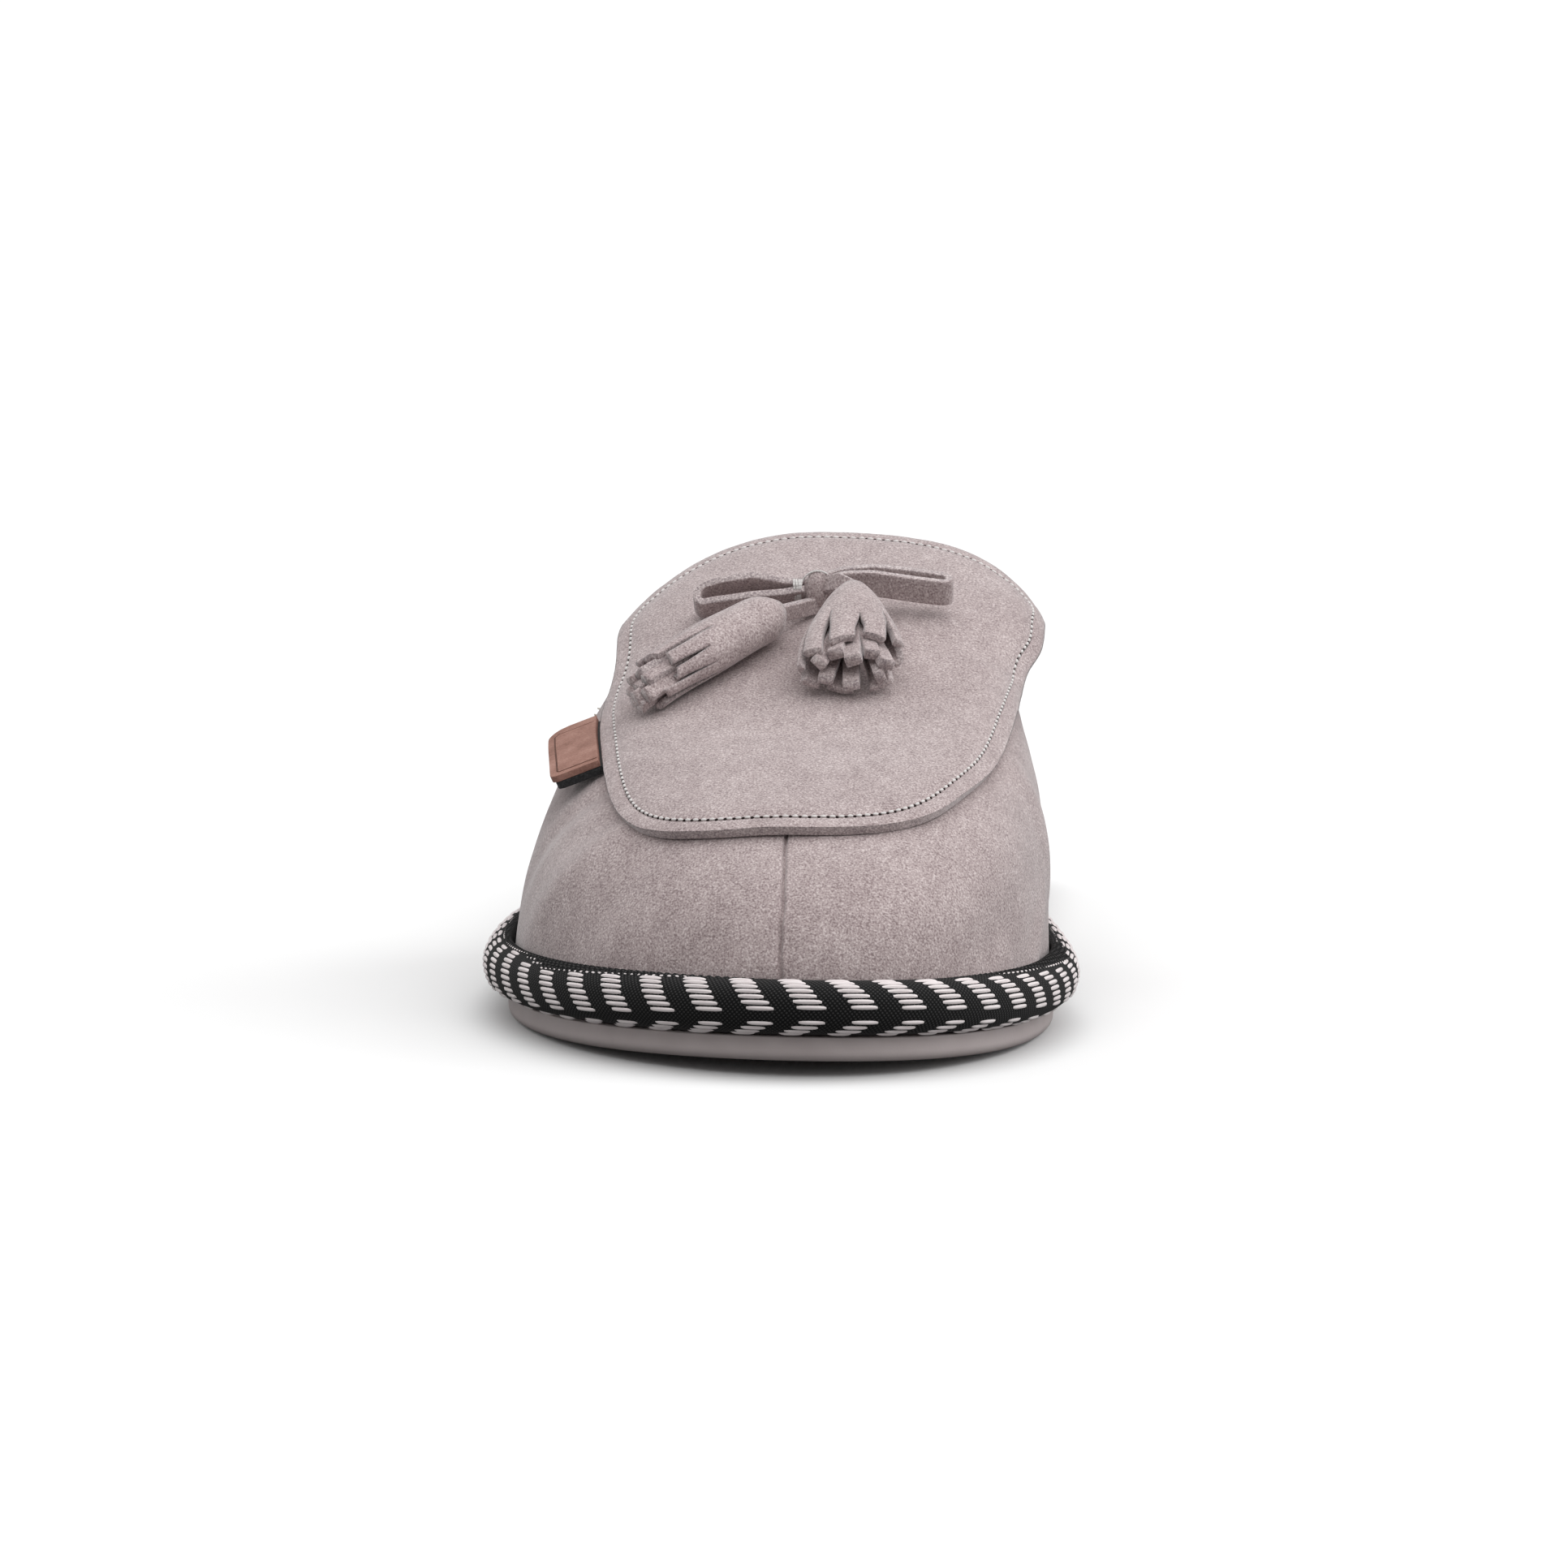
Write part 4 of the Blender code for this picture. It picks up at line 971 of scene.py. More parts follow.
PLUG_TABLE = (
    {"along": 0.00, "lateral": 0.400, "medial": 0.385},
    {"along": 0.15, "lateral": 0.367, "medial": 0.352},
    {"along": 0.25, "lateral": 0.360, "medial": 0.356},
    {"along": 0.40, "lateral": 0.373, "medial": 0.366},
    {"along": 0.55, "lateral": 0.386, "medial": 0.375},
    {"along": 0.68, "lateral": 0.376, "medial": 0.389},
    {"along": 0.74, "lateral": 0.379, "medial": 0.410},
    {"along": 0.80, "lateral": 0.380, "medial": 0.414},
    {"along": 0.88, "lateral": 0.357, "medial": 0.417},
    {"along": 1.00, "lateral": 0.340, "medial": 0.400},
)

plug_lateral = column_curve(PLUG_TABLE, "lateral")
plug_medial = column_curve(PLUG_TABLE, "medial")
PLUG_FRONT = PLUG_FRONT_SHARE * FEATHER_LENGTH
TONGUE_END = TONGUE_END_SHARE * FEATHER_LENGTH
PLUG_TOP_LIFT = PLUG_CLEARANCE + PLUG_THICKNESS


def plug_sides(y):
    """The plug's lateral and medial edge at this y."""
    along = (y - PLUG_FRONT) / (TONGUE_END - PLUG_FRONT)
    width = BALL_WIDTH * end_factor((1 - along) / TONGUE_ROUND_SHARE, TONGUE_BLUNTNESS)
    lateral = plug_lateral(along) * end_factor(along / PLUG_LATERAL_ROUND_SHARE, PLUG_BLUNTNESS)
    medial = plug_medial(along) * end_factor(along / PLUG_MEDIAL_ROUND_SHARE, PLUG_BLUNTNESS)
    return INSTEP_X - lateral * width, INSTEP_X + medial * width


def tongue_flare(y, medial):
    """How much wider the tongue's section is than the last's, from nothing at the throat."""
    start, end = TONGUE_FLARE_START_SHARE * FEATHER_LENGTH, TONGUE_FLARE_END_SHARE * FEATHER_LENGTH
    flare = np.where(medial, TONGUE_MEDIAL_FLARE, TONGUE_LATERAL_FLARE)
    return flare * smoothstep((y - start) / (end - start))


def instep_surface(x, y):
    """The surface that the plug and the flared tongue lie on, above each x and y."""
    aside, ahead = x - INSTEP_X, y - FAN_Y
    distance = np.maximum(np.hypot(aside, ahead), 1e-9)
    fan_reach = distance / np.interp(np.arctan2(np.minimum(ahead, 0), aside), FAN_ANGLES, FAN_REACH)
    medial = x > INSTEP_X
    left, right = feather_sides(y)
    edge = np.where(medial, right, left)
    side_reach = aside / (edge - INSTEP_X) / (1 + tongue_flare(y, medial))
    in_fan = y < FAN_Y
    power = np.where(in_fan, fan_power(aside / distance, ahead / distance), side_power(y, medial))
    return np.column_stack([x, y, surface_level(y, np.where(in_fan, fan_reach, side_reach), power)])


def instep_normals(x, y):
    """The outward direction of that surface."""
    across = instep_surface(x + NORMAL_STEP, y) - instep_surface(x - NORMAL_STEP, y)
    along = instep_surface(x, y + NORMAL_STEP) - instep_surface(x, y - NORMAL_STEP)
    return unit_rows(np.cross(across, along))


def over_instep(x, y, lift):
    """Points this far out from the surface."""
    x, y = np.atleast_1d(x).astype(float), np.atleast_1d(y).astype(float)
    lift = np.broadcast_to(lift, x.shape)
    return instep_surface(x, y) + instep_normals(x, y) * lift[:, None]


def find_plug_edge(count):
    """Places evenly round the plug's edge, the inward direction at each, and the edge's length."""
    y = PLUG_FRONT + (TONGUE_END - PLUG_FRONT) * (1 - np.cos(np.linspace(0, math.pi, EDGE_SAMPLES))) / 2
    left, right = plug_sides(y)
    xy = np.concatenate([np.column_stack([right, y]), np.column_stack([left, y])[-2::-1]])
    run = distance_run(over_instep(xy[:, 0], xy[:, 1], PLUG_TOP_LIFT))
    places = np.arange(count) * run[-1] / count
    x, y = (np.interp(places, run, xy[:, i]) for i in range(2))
    even = over_instep(x, y, PLUG_TOP_LIFT)
    tangent = np.roll(even, -1, 0) - np.roll(even, 1, 0)
    return np.column_stack([x, y]), unit_rows(np.cross(instep_normals(x, y), tangent)), run[-1]


EDGE_XY, _, EDGE_LENGTH = find_plug_edge(EDGE_POINT_COUNT)
EDGE_POINTS = over_instep(EDGE_XY[:, 0], EDGE_XY[:, 1], PLUG_TOP_LIFT)


def distance_to_edge(places):
    """Each place's distance to the plug's edge."""
    nearest = np.full(len(places), 1.0)
    for i in range(0, len(EDGE_POINTS), 60):
        gaps = np.linalg.norm(places[:, None, :] - EDGE_POINTS[None, i : i + 60, :], axis=2)
        nearest = np.minimum(nearest, gaps.min(axis=1))
    return nearest


def plug_unevenness(places):
    """How far the hand-cut leather stands up at each place."""
    return np.maximum(unevenness(places, PLUG_WAVES), PLUG_LOWEST)


def plug_place(round_share, inward_share):
    """Rings that follow the edge, close together near the seam, and end on a short line down the middle."""
    along = round_share * len(EDGE_XY)
    order = np.arange(len(EDGE_XY))
    edge_x, edge_y = (np.interp(along, order, column, period=len(EDGE_XY)) for column in EDGE_XY.T)
    spine_y = np.clip(edge_y, PLUG_FRONT + SPINE_MARGIN, TONGUE_END - SPINE_MARGIN)
    near_rings = inward_share * EDGE_BAND / EDGE_BAND_RINGS
    far_rings = EDGE_BAND + (inward_share - EDGE_BAND_RINGS) * (1 - EDGE_BAND) / (1 - EDGE_BAND_RINGS)
    inward = np.where(inward_share < EDGE_BAND_RINGS, near_rings, far_rings)
    spine_y = np.where(inward > 0.999, np.round(spine_y / SPINE_STEP) * SPINE_STEP, spine_y)
    x = edge_x + (INSTEP_X - edge_x) * inward
    y = edge_y + (spine_y - edge_y) * inward
    from_edge = distance_to_edge(over_instep(x, y, PLUG_TOP_LIFT))
    lift = PLUG_CLEARANCE - EDGE_DROP * np.exp(-((from_edge / EDGE_DROP_HALF) ** 2))
    lift = lift - STITCH_GROOVE * np.exp(-(((from_edge - SEAM_INSET) / STITCH_GROOVE_HALF) ** 2))
    inside = (from_edge - SEAM_INSET) / SEWN_PUFF_HALF
    lift = lift + SEWN_PUFF * np.where(inside > 0, inside * np.exp(1 - inside), 0)
    places = over_instep(x, y, lift)
    return places + instep_normals(x, y) * plug_unevenness(places)[:, None]


plug = bmesh.new()
grid_onto(plug, *PLUG_GRID, plug_place)
plug_suede = finish_piece("plug_suede", plug, [brushed_suede, cut_suede], closed=False)
add_wall(plug_suede, PLUG_THICKNESS, 1, rim_material=1)
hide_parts("plug_tongue")

# The tongue's lining
# The wool that lines the tongue's underside, sewn in with the edge seam and stopping short of the raw edge.

TONGUE_LINING = 0.0012
TONGUE_LINING_GRID = (60, 40)
TONGUE_LOCKS = 1500
TONGUE_LOCKS_SUNK = 0.0003
TONGUE_LOCKS_ALONG = (0.05, 0.98)
TONGUE_LOCK_STAND = 0.5


def tongue_lining_place(across, along):
    throat_y = THROAT_SHARE * FEATHER_LENGTH
    y = throat_y + (TONGUE_END - SEAM_INSET - throat_y) * along
    left, right = plug_sides(y)
    x = left + SEAM_INSET + (right - left - 2 * SEAM_INSET) * across
    return over_instep(x, y, -CLEARANCE)


tongue_lining = bmesh.new()
grid_onto(tongue_lining, *TONGUE_LINING_GRID, tongue_lining_place)
tongue_fleece = finish_piece("tongue_fleece", tongue_lining, [wool_fleece], closed=False)
add_wall(tongue_fleece, TONGUE_LINING, -1)

tongue_rng = np.random.default_rng(17)
tongue_across = tongue_rng.uniform(0, 1, TONGUE_LOCKS)
tongue_along = tongue_rng.uniform(*TONGUE_LOCKS_ALONG, TONGUE_LOCKS)
tongue_roots = tongue_lining_place(tongue_across, tongue_along)
tongue_outs = -instep_normals(tongue_roots[:, 0], tongue_roots[:, 1])
tongue_locks = bmesh.new()
tongue_roots = tongue_roots + tongue_outs * (TONGUE_LINING - TONGUE_LOCKS_SUNK)
add_locks(tongue_locks, tongue_roots, tongue_outs * TONGUE_LOCK_STAND, 18)
finish_piece("tongue_locks", tongue_locks, [wool_fleece], merge=False)

# The plug's stitching
# Pale grey polyester thread, sewn by machine in one line round the plug. Each stitch sinks into a needle
# hole, and a small dark lump sunk under each stitch is painted shade for the inside of that hole.

THREAD_TWIST = 0.0003
NEEDLE_HOLE = (0.00066, 0.00078, 0.00024)
HOLE_SUNK = 0.4
THREAD_STANDS = 0.9
THREAD_FLATTENED = 1.6


def make_thread():
    """Twisted polyester thread: pale grey, faintly glossy, with a fine mottle at the size of its twist."""
    material, coords = new_material(
        "pale_grey_thread", Roughness=0.5, Sheen_Weight=0.2, Specular_IOR_Level=0.4
    )
    twist = {"Scale": 1 / THREAD_TWIST, "Detail": 2}
    strands = add_node(material, "ShaderNodeTexNoise", twist, {"Vector": coords["Object"]})
    return finish_look(material, strands.outputs["Fac"], ((0, "#C9C4C2"), (1, "#F2EFED")))


def make_needle_hole_shade():
    """Painted shade for the inside of a needle hole in suede: dark brown, a little mottled."""
    material, coords = new_material("needle_hole_shade", Roughness=1.0, Specular_IOR_Level=0.0)
    shade_mottle = {"Scale": 1 / THREAD_TWIST}
    depth = add_node(material, "ShaderNodeTexNoise", shade_mottle, {"Vector": coords["Object"]})
    return finish_look(material, depth.outputs["Fac"], ((0, "#1E1918"), (1, "#3A3130")))


grey_thread = make_thread()
needle_hole_shade = make_needle_hole_shade()
stitches = bmesh.new()
hole_shades = bmesh.new()
stitch_count = round(EDGE_LENGTH / STITCH_PITCH)
seam_xy, seam_inward, _ = find_plug_edge(stitch_count)
seam_xy = seam_xy + seam_inward[:, :2] * SEAM_INSET
sewn_out = instep_normals(seam_xy[:, 0], seam_xy[:, 1])
sewn = over_instep(seam_xy[:, 0], seam_xy[:, 1], PLUG_CLEARANCE - STITCH_GROOVE)
sewn = sewn + sewn_out * (PLUG_THICKNESS + STITCH_RADIUS * THREAD_STANDS + plug_unevenness(sewn))[:, None]
for i in range(stitch_count):
    ahead = Vector(sewn[(i + 1) % stitch_count] - sewn[i])
    out = Vector(sewn_out[i])
    turned = Matrix((ahead.normalized(), out.cross(ahead).normalized(), out)).transposed().to_4x4()
    middle = Matrix.Translation(Vector(sewn[i]) + ahead / 2) @ turned
    stitch = bmesh.new()
    flattened = Matrix.Diagonal((STITCH_LENGTH, 2 * STITCH_RADIUS, THREAD_FLATTENED * STITCH_RADIUS, 1))
    bmesh.ops.create_uvsphere(stitch, u_segments=8, v_segments=6, radius=0.5, matrix=middle @ flattened)
    join_part(stitches, stitch)
    # A small dark lump under each stitch: painted shade for its needle hole.
    hole = bmesh.new()
    round_hole = Matrix.Diagonal((*NEEDLE_HOLE, 1))
    place = Matrix.Translation(Vector(sewn[i]) - out * STITCH_RADIUS * HOLE_SUNK) @ turned
    bmesh.ops.create_uvsphere(hole, u_segments=8, v_segments=4, radius=0.5, matrix=place @ round_hole)
    join_part(hole_shades, hole)
finish_piece("plug_stitches", stitches, [grey_thread], merge=False)
finish_piece("plug_needle_hole_shades", hole_shades, [needle_hole_shade], merge=False)

# The tab
# A small tab of brown leather over black felt, caught under the plug's edge at the outer side of the foot.
# The leather is smooth and bare, with a plain pressed line round its edge.

TAB_START_SHARE = 0.235
TAB_LENGTH = 0.0228
TAB_REACH = 0.0090
TAB_LEATHER = 0.0012
TAB_BACKING = 0.0014
TAB_FRONT_CORNER = 0.0012
TAB_BACK_CORNER = 0.0040
TAB_SLOPE = math.radians(22)
TAB_GRID = (60, 30)
TAB_EDGE_ROUND = 0.00025
LEATHER_PROUD = 0.0002
LINE_FRONT = 0.07
LINE_OUTER = 0.82
LINE_BACK = 0.89
PRESSED_HALF = 0.00028
PRESSED_FLOOR = 0.00008
PRESSED_OVERLAP = 1.15
LEATHER_GRAIN = 0.00045
LEATHER_CLOUD = 0.004
LEATHER_FINE = 0.0004
LINE_MOTTLE_SIZE = 0.0009
FELT_FIBRE = 0.0004


def tab_place(lift, proud):
    """One layer of the tab, from under the plug's edge out to its rounded end."""

    def place(along, outward):
        run = TAB_LENGTH * along
        y = TAB_START_SHARE * FEATHER_LENGTH + run
        seam = over_instep(plug_sides(y)[0] - 2 * CLEARANCE, y, lift)
        corner = np.where(along < 0.5, TAB_FRONT_CORNER, TAB_BACK_CORNER)
        to_corner = np.maximum(corner - np.minimum(run, TAB_LENGTH - run), 0)
        reach = TAB_REACH + proud - corner + np.sqrt(np.maximum(corner**2 - to_corner**2, 0))
        out = np.array([-math.cos(TAB_SLOPE), 0, -math.sin(TAB_SLOPE)])
        return seam + out * (reach * outward)[:, None]

    return place


def make_tab_leather():
    """Vegetable-tanned leather with a pressed fine grain: warm brown, a little mottled, low gloss."""
    material, coords = new_material(
        "tanned_leather", Roughness=0.55, Specular_IOR_Level=0.35, Coat_Weight=0.05
    )
    where = {"Vector": coords["Object"]}
    grain = add_node(material, "ShaderNodeTexVoronoi", {"Scale": 1 / LEATHER_GRAIN}, where)
    cloud = add_node(material, "ShaderNodeTexNoise", {"Scale": 1 / LEATHER_CLOUD, "Detail": 4}, where)
    fine = add_node(material, "ShaderNodeTexNoise", {"Scale": 1 / LEATHER_FINE, "Detail": 3}, where)
    pair = {2: cloud.outputs["Fac"], 3: fine.outputs["Fac"]}
    blend = add_node(material, "ShaderNodeMix", {0: 0.4}, pair, data_type="FLOAT")
    stops = ((0.36, "#8C6558"), (0.5, "#A2786B"), (0.66, "#B48B7E"))
    return finish_look(
        material, blend.outputs[0], stops, grain.outputs["Distance"], strength=0.35, depth=0.00012
    )


def make_pressed_line_colour():
    """The pressed line's floor: a darker brown, a little mottled."""
    material, coords = new_material("pressed_leather", Roughness=0.5, Specular_IOR_Level=0.3)
    spots = {"Scale": 1 / LINE_MOTTLE_SIZE, "Detail": 3}
    line_mottle = add_node(material, "ShaderNodeTexNoise", spots, {"Vector": coords["Object"]})
    return finish_look(material, line_mottle.outputs["Fac"], ((0, "#583A31"), (1, "#7A5547")))


def make_felt():
    """Black felt: pressed wool fibres, painted a little grey where they stand high, as a highlight."""
    material, coords = new_material("black_felt", Roughness=0.95, Sheen_Weight=0.3, Sheen_Roughness=0.5)
    matted = {"Scale": 1 / FELT_FIBRE, "Detail": 4}
    fibres = add_node(material, "ShaderNodeTexNoise", matted, {"Vector": coords["Object"]}).outputs["Fac"]
    # The fibres raise the relief and paint their high places grey as a highlight.
    return finish_look(
        material, fibres, ((0.4, "#17181A"), (0.7, "#3A3B3C")), fibres, strength=0.7, depth=0.0002
    )


def round_edges(piece, width):
    """Rounds a walled sheet's sharp edges."""
    bevel = piece.modifiers.new("rounded", "BEVEL")
    bevel.width = width
    bevel.segments = 2
    bevel.limit_method = "ANGLE"
    bevel.angle_limit = math.radians(50)


def shaped_tab(name, lift, thickness, proud, materials):
    """Makes one layer of the tab."""
    layer = bmesh.new()
    grid_onto(layer, *TAB_GRID, tab_place(lift, proud))
    bmesh.ops.recalc_face_normals(layer, faces=layer.faces)
    if sum(face.normal.z for face in layer.faces) < 0:
        bmesh.ops.reverse_faces(layer, faces=layer.faces)
    piece = finish_piece(name, layer, materials, closed=False)
    add_wall(piece, thickness, 1)
    round_edges(piece, TAB_EDGE_ROUND)
    return piece


tab_felt = shaped_tab("tab_felt", CLEARANCE, TAB_BACKING, 0, [make_felt()])
leather_lift = CLEARANCE + TAB_BACKING + CLEARANCE / 2
tab_leather = shaped_tab(
    "tab_top", leather_lift, TAB_LEATHER, LEATHER_PROUD, [make_tab_leather()]
)
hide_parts("tab_backing")
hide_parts("tab_leather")

# The pressed line runs out beside the front edge, along the outer edge and back in, in shares of the tab.
pressed = bmesh.new()
frame_runs = [(LINE_FRONT, share) for share in np.linspace(0.0, 0.80, 24)]
frame_runs += [(share, LINE_OUTER) for share in np.linspace(0.09, 0.84, 60)]
frame_runs += [(LINE_BACK, share) for share in np.linspace(0.74, 0.0, 24)]
pressed_along, pressed_out = np.array(frame_runs).T
pressed_points = tab_place(leather_lift + TAB_LEATHER, 0)(pressed_along, pressed_out)
for before, after in zip(pressed_points[:-1], pressed_points[1:]):
    step = Vector(after - before)
    turned = step.to_track_quat("X", "Z").to_matrix().to_4x4()
    flat = Matrix.Diagonal((step.length * PRESSED_OVERLAP, 2 * PRESSED_HALF, PRESSED_FLOOR, 1))
    dash = bmesh.new()
    middle = Matrix.Translation(Vector(before + after) / 2)
    bmesh.ops.create_cube(dash, size=1, matrix=middle @ turned @ flat)
    join_part(pressed, dash)
finish_piece("tab_pressed_line", pressed, [make_pressed_line_colour()], merge=False)

# The bow
# A flat suede lace, 5 mm wide with raw cut edges, tied across the tongue. Both loops stand on their edges,
# and a few turns of thread bind the left one to the knot.

LACE_WIDTH = 0.0048
LACE_THICKNESS = 0.0015
KNOT_SHARE = 0.401
KNOT_WIDTH = 0.0058
KNOT_LENGTH = 0.0060
KNOT_HEIGHT = 0.0078
THREAD_RADIUS = 0.00022
THREAD_TURNS = 5
THREAD_TURN_PITCH = 0.0003
THREAD_SWAY = 0.0002
THREAD_POINTS = 18
BOUND_HALF_BROAD = 0.0027
BOUND_HALF_DEEP = 0.0018
BOX_POWER = 0.2
LACE_SIDES = 20

knot_x = np.array([INSTEP_X])
knot_y = np.array([KNOT_SHARE * FEATHER_LENGTH])
KNOT = Vector(over_instep(knot_x, knot_y, 2 * CLEARANCE + PLUG_THICKNESS + KNOT_HEIGHT / 2)[0])
KNOT_OUT = Vector(instep_normals(knot_x, knot_y)[0])
KNOT_ACROSS = -Vector((1, 0, 0)).cross(KNOT_OUT).cross(KNOT_OUT).normalized()
KNOT_ALONG = KNOT_OUT.cross(KNOT_ACROSS)


def box_section(angle):
    """A rounded box's outline, from -1 to 1 both ways."""
    wide, deep = np.cos(angle), np.sin(angle)
    return np.sign(wide) * np.abs(wide) ** BOX_POWER, np.sign(deep) * np.abs(deep) ** BOX_POWER


def add_lace(mesh_data, points, broad, width, thickness):
    """A flat strip along these points, broad in this direction, its cut edges and ends in material 1."""
    points = np.array(points)
    stations = np.linspace(0, 1, len(points))
    tangents = np.gradient(points, axis=0)
    broads = np.broadcast_to(np.array(broad, dtype=float), points.shape)
    steps = max(3 * len(points), 12)

    def place(round_share, along):
        middle, tangent, wide_way = (
            np.stack([np.interp(along, stations, rows[:, i]) for i in range(3)], 1)
            for rows in (points, tangents, broads)
        )
        tangent = unit_rows(tangent)
        deep_way = unit_rows(np.cross(tangent, wide_way))
        wide_way = np.cross(deep_way, tangent)
        wide, deep = box_section(2 * math.pi * (round_share + 0.5 / LACE_SIDES))
        return middle + wide_way * (wide * width / 2)[:, None] + deep_way * (deep * thickness / 2)[:, None]

    lace = bmesh.new()
    grid_onto(lace, LACE_SIDES, steps, place)
    for i, face in enumerate(lace.faces):
        at = i % LACE_SIDES
        face.material_index = int(min(at, LACE_SIDES - at) <= 1 or abs(at - LACE_SIDES / 2) <= 1)
    bmesh.ops.remove_doubles(lace, verts=lace.verts, dist=MERGE_DISTANCE)
    ends = [edge for edge in lace.edges if edge.is_boundary]
    for cap in bmesh.ops.holes_fill(lace, edges=ends, sides=0)["faces"]:
        cap.material_index = 1
    bmesh.ops.recalc_face_normals(lace, faces=lace.faces)
    join_part(mesh_data, lace)


def add_tube(mesh_data, points, radius, closed=False):
    """A round thread along these points."""
    points = [Vector(point) for point in points]
    count = len(points)
    for i in range(count if closed else count - 1):
        before, after = points[i], points[(i + 1) % count]
        run = after - before
        turned = run.to_track_quat("Z", "X").to_matrix().to_4x4()
        piece = bmesh.new()
        place = Matrix.Translation((before + after) / 2) @ turned
        size = {"radius1": radius, "radius2": radius, "depth": run.length * 1.25}
        bmesh.ops.create_cone(piece, segments=8, cap_ends=True, matrix=place, **size)
        join_part(mesh_data, piece)


def loop_points(out_way, opening, rise_at, rise, gap_at, gap, length):
    """A bow loop's middle line: out along one strand, round the bend and back along the other."""
    bend = np.interp(length, gap_at, gap)
    out = np.linspace(0.0022, length - bend, 16)
    turn = np.linspace(0, math.pi, 9)[1:-1]
    far = np.concatenate([out, length - bend + bend * np.sin(turn), out[::-1]])
    gaps = np.interp(out, gap_at, gap)
    aside = np.concatenate([gaps, bend * np.cos(turn), -gaps[::-1]])
    lifted = np.interp(far, rise_at, rise)
    rows = np.outer(far, out_way) + np.outer(aside, opening) + np.outer(lifted, KNOT_OUT)
    return rows + np.array(KNOT)


# The knot's folds, as shares of its size: one deep slanting fold on the right and a slight one on the left.
KNOT_FOLDS = (
    {"at": 0.30, "slant": -0.35, "depth": 0.20, "half": 0.05},
    {"at": -0.36, "slant": 0.0, "depth": 0.10, "half": 0.06},
)
KNOT_UNEVEN = 0.03

bow = bmesh.new()
left_broad = Vector((0, -0.78, 0.62))
left_opening = Vector((0, 0.62, 0.78))
add_lace(
    bow,
    loop_points(
        -KNOT_ACROSS,
        left_opening,
        (0, 0.006, 0.012, 0.018, 0.0228),
        (0, -0.0007, -0.0005, -0.0016, -0.0030),
        (0, 0.004, 0.008, 0.012, 0.017, 0.0230),
        (0.0009, 0.0009, 0.0015, 0.0021, 0.0021, 0.0017),
        0.0222,
    ),
    left_broad,
    LACE_WIDTH,
    LACE_THICKNESS,
)
add_lace(
    bow,
    loop_points(
        KNOT_ACROSS,
        KNOT_ALONG,
        (0, 0.005, 0.010, 0.016, 0.0245),
        (0, 0.0018, 0.0022, 0.0015, 0.0004),
        (0, 0.006, 0.012, 0.018, 0.0250),
        (0.0009, 0.0010, 0.0014, 0.0017, 0.0014),
        0.0240,
    ),
    KNOT_OUT,
    LACE_WIDTH,
    LACE_THICKNESS,
)
knot = bmesh.new()
bmesh.ops.create_uvsphere(knot, u_segments=40, v_segments=28, radius=0.5)
for vert in knot.verts:
    x, y, z = vert.co
    swell = 1 - KNOT_UNEVEN * math.sin(9 * z + 3 * x)
    for fold in KNOT_FOLDS:
        from_fold = x - fold["at"] - fold["slant"] * z
        swell -= fold["depth"] * math.exp(-((from_fold / fold["half"]) ** 2))
    spot = KNOT_ACROSS * x * KNOT_WIDTH * 1.08 + KNOT_ALONG * y * KNOT_LENGTH + KNOT_OUT * z * KNOT_HEIGHT
    vert.co = KNOT + spot * swell
join_part(bow, knot)
bow_suede = finish_piece("bow_lace", bow, [brushed_suede, cut_suede], merge=False)
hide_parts("bow")

binding = bmesh.new()
for turn in range(THREAD_TURNS):
    beside_knot = KNOT_WIDTH / 2 + 0.0001 + THREAD_TURN_PITCH * turn
    centre = KNOT - KNOT_ACROSS * beside_knot - KNOT_OUT * 0.0003
    ring = []
    for i in range(THREAD_POINTS):
        angle = 2 * math.pi * i / THREAD_POINTS
        broad = left_broad * math.cos(angle) * BOUND_HALF_BROAD
        deep = left_opening * math.sin(angle) * BOUND_HALF_DEEP
        ring.append(centre + (broad + deep) + KNOT_ACROSS * THREAD_SWAY * math.sin(angle + turn))
    add_tube(binding, ring, THREAD_RADIUS, closed=True)
arc = []
for i in range(13):
    angle = math.radians(168 - 9 * i)
    arc.append(
        KNOT
        + KNOT_ACROSS * math.cos(angle) * KNOT_WIDTH * 0.57
        + KNOT_OUT * math.sin(angle) * KNOT_HEIGHT * 0.53
        - KNOT_ALONG * KNOT_LENGTH * 0.10
    )
add_tube(binding, arc, THREAD_RADIUS * 0.8)
finish_piece("knot_thread", binding, [grey_thread], merge=False)

# The tassels
# A strip of the suede, cut into a fringe and rolled round each end of the lace: the outermost turn makes a
# smooth head that splits into broad strips, and the square ends of the inner turns show between them.

LEFT_TASSEL_LENGTH = 0.0355
RIGHT_TASSEL_LENGTH = 0.0282
LEFT_TASSEL_HEADING = Vector((-0.70, -0.71)).normalized()
RIGHT_TASSEL_HEADING = Vector((0.04, -1)).normalized()
LEFT_TASSEL_ASIDE = 0.0062
LEFT_TASSEL_AHEAD = 0.0040
RIGHT_TASSEL_ASIDE = 0.0068
LEFT_TASSEL_LIFT = 0.0008
RIGHT_TASSEL_LIFT = 0.0034
STRIP_THICKNESS = 0.0013
FRINGE_FREE_FROM = 0.56
TASSEL_STEPS = 12
SLIT_OPENING = 0.35
SLEEVE_CELLS = 8
SLEEVE_RINGS = 34
STRIP_PILLOW = 0.0003
STRIP_BULGE = (-0.0004, 0.0006)
STRIP_DRIFT = 0.10
END_START = 0.40
END_START_RING = 0.25
END_POINTS = 9
LEFT_TIE = (0.0030, 0.0016)
RIGHT_TIE = (0.0032, 0.0015)
PLUG_TOP = CLEARANCE + PLUG_THICKNESS
KNOT_LIFT = PLUG_TOP + CLEARANCE + KNOT_HEIGHT / 2

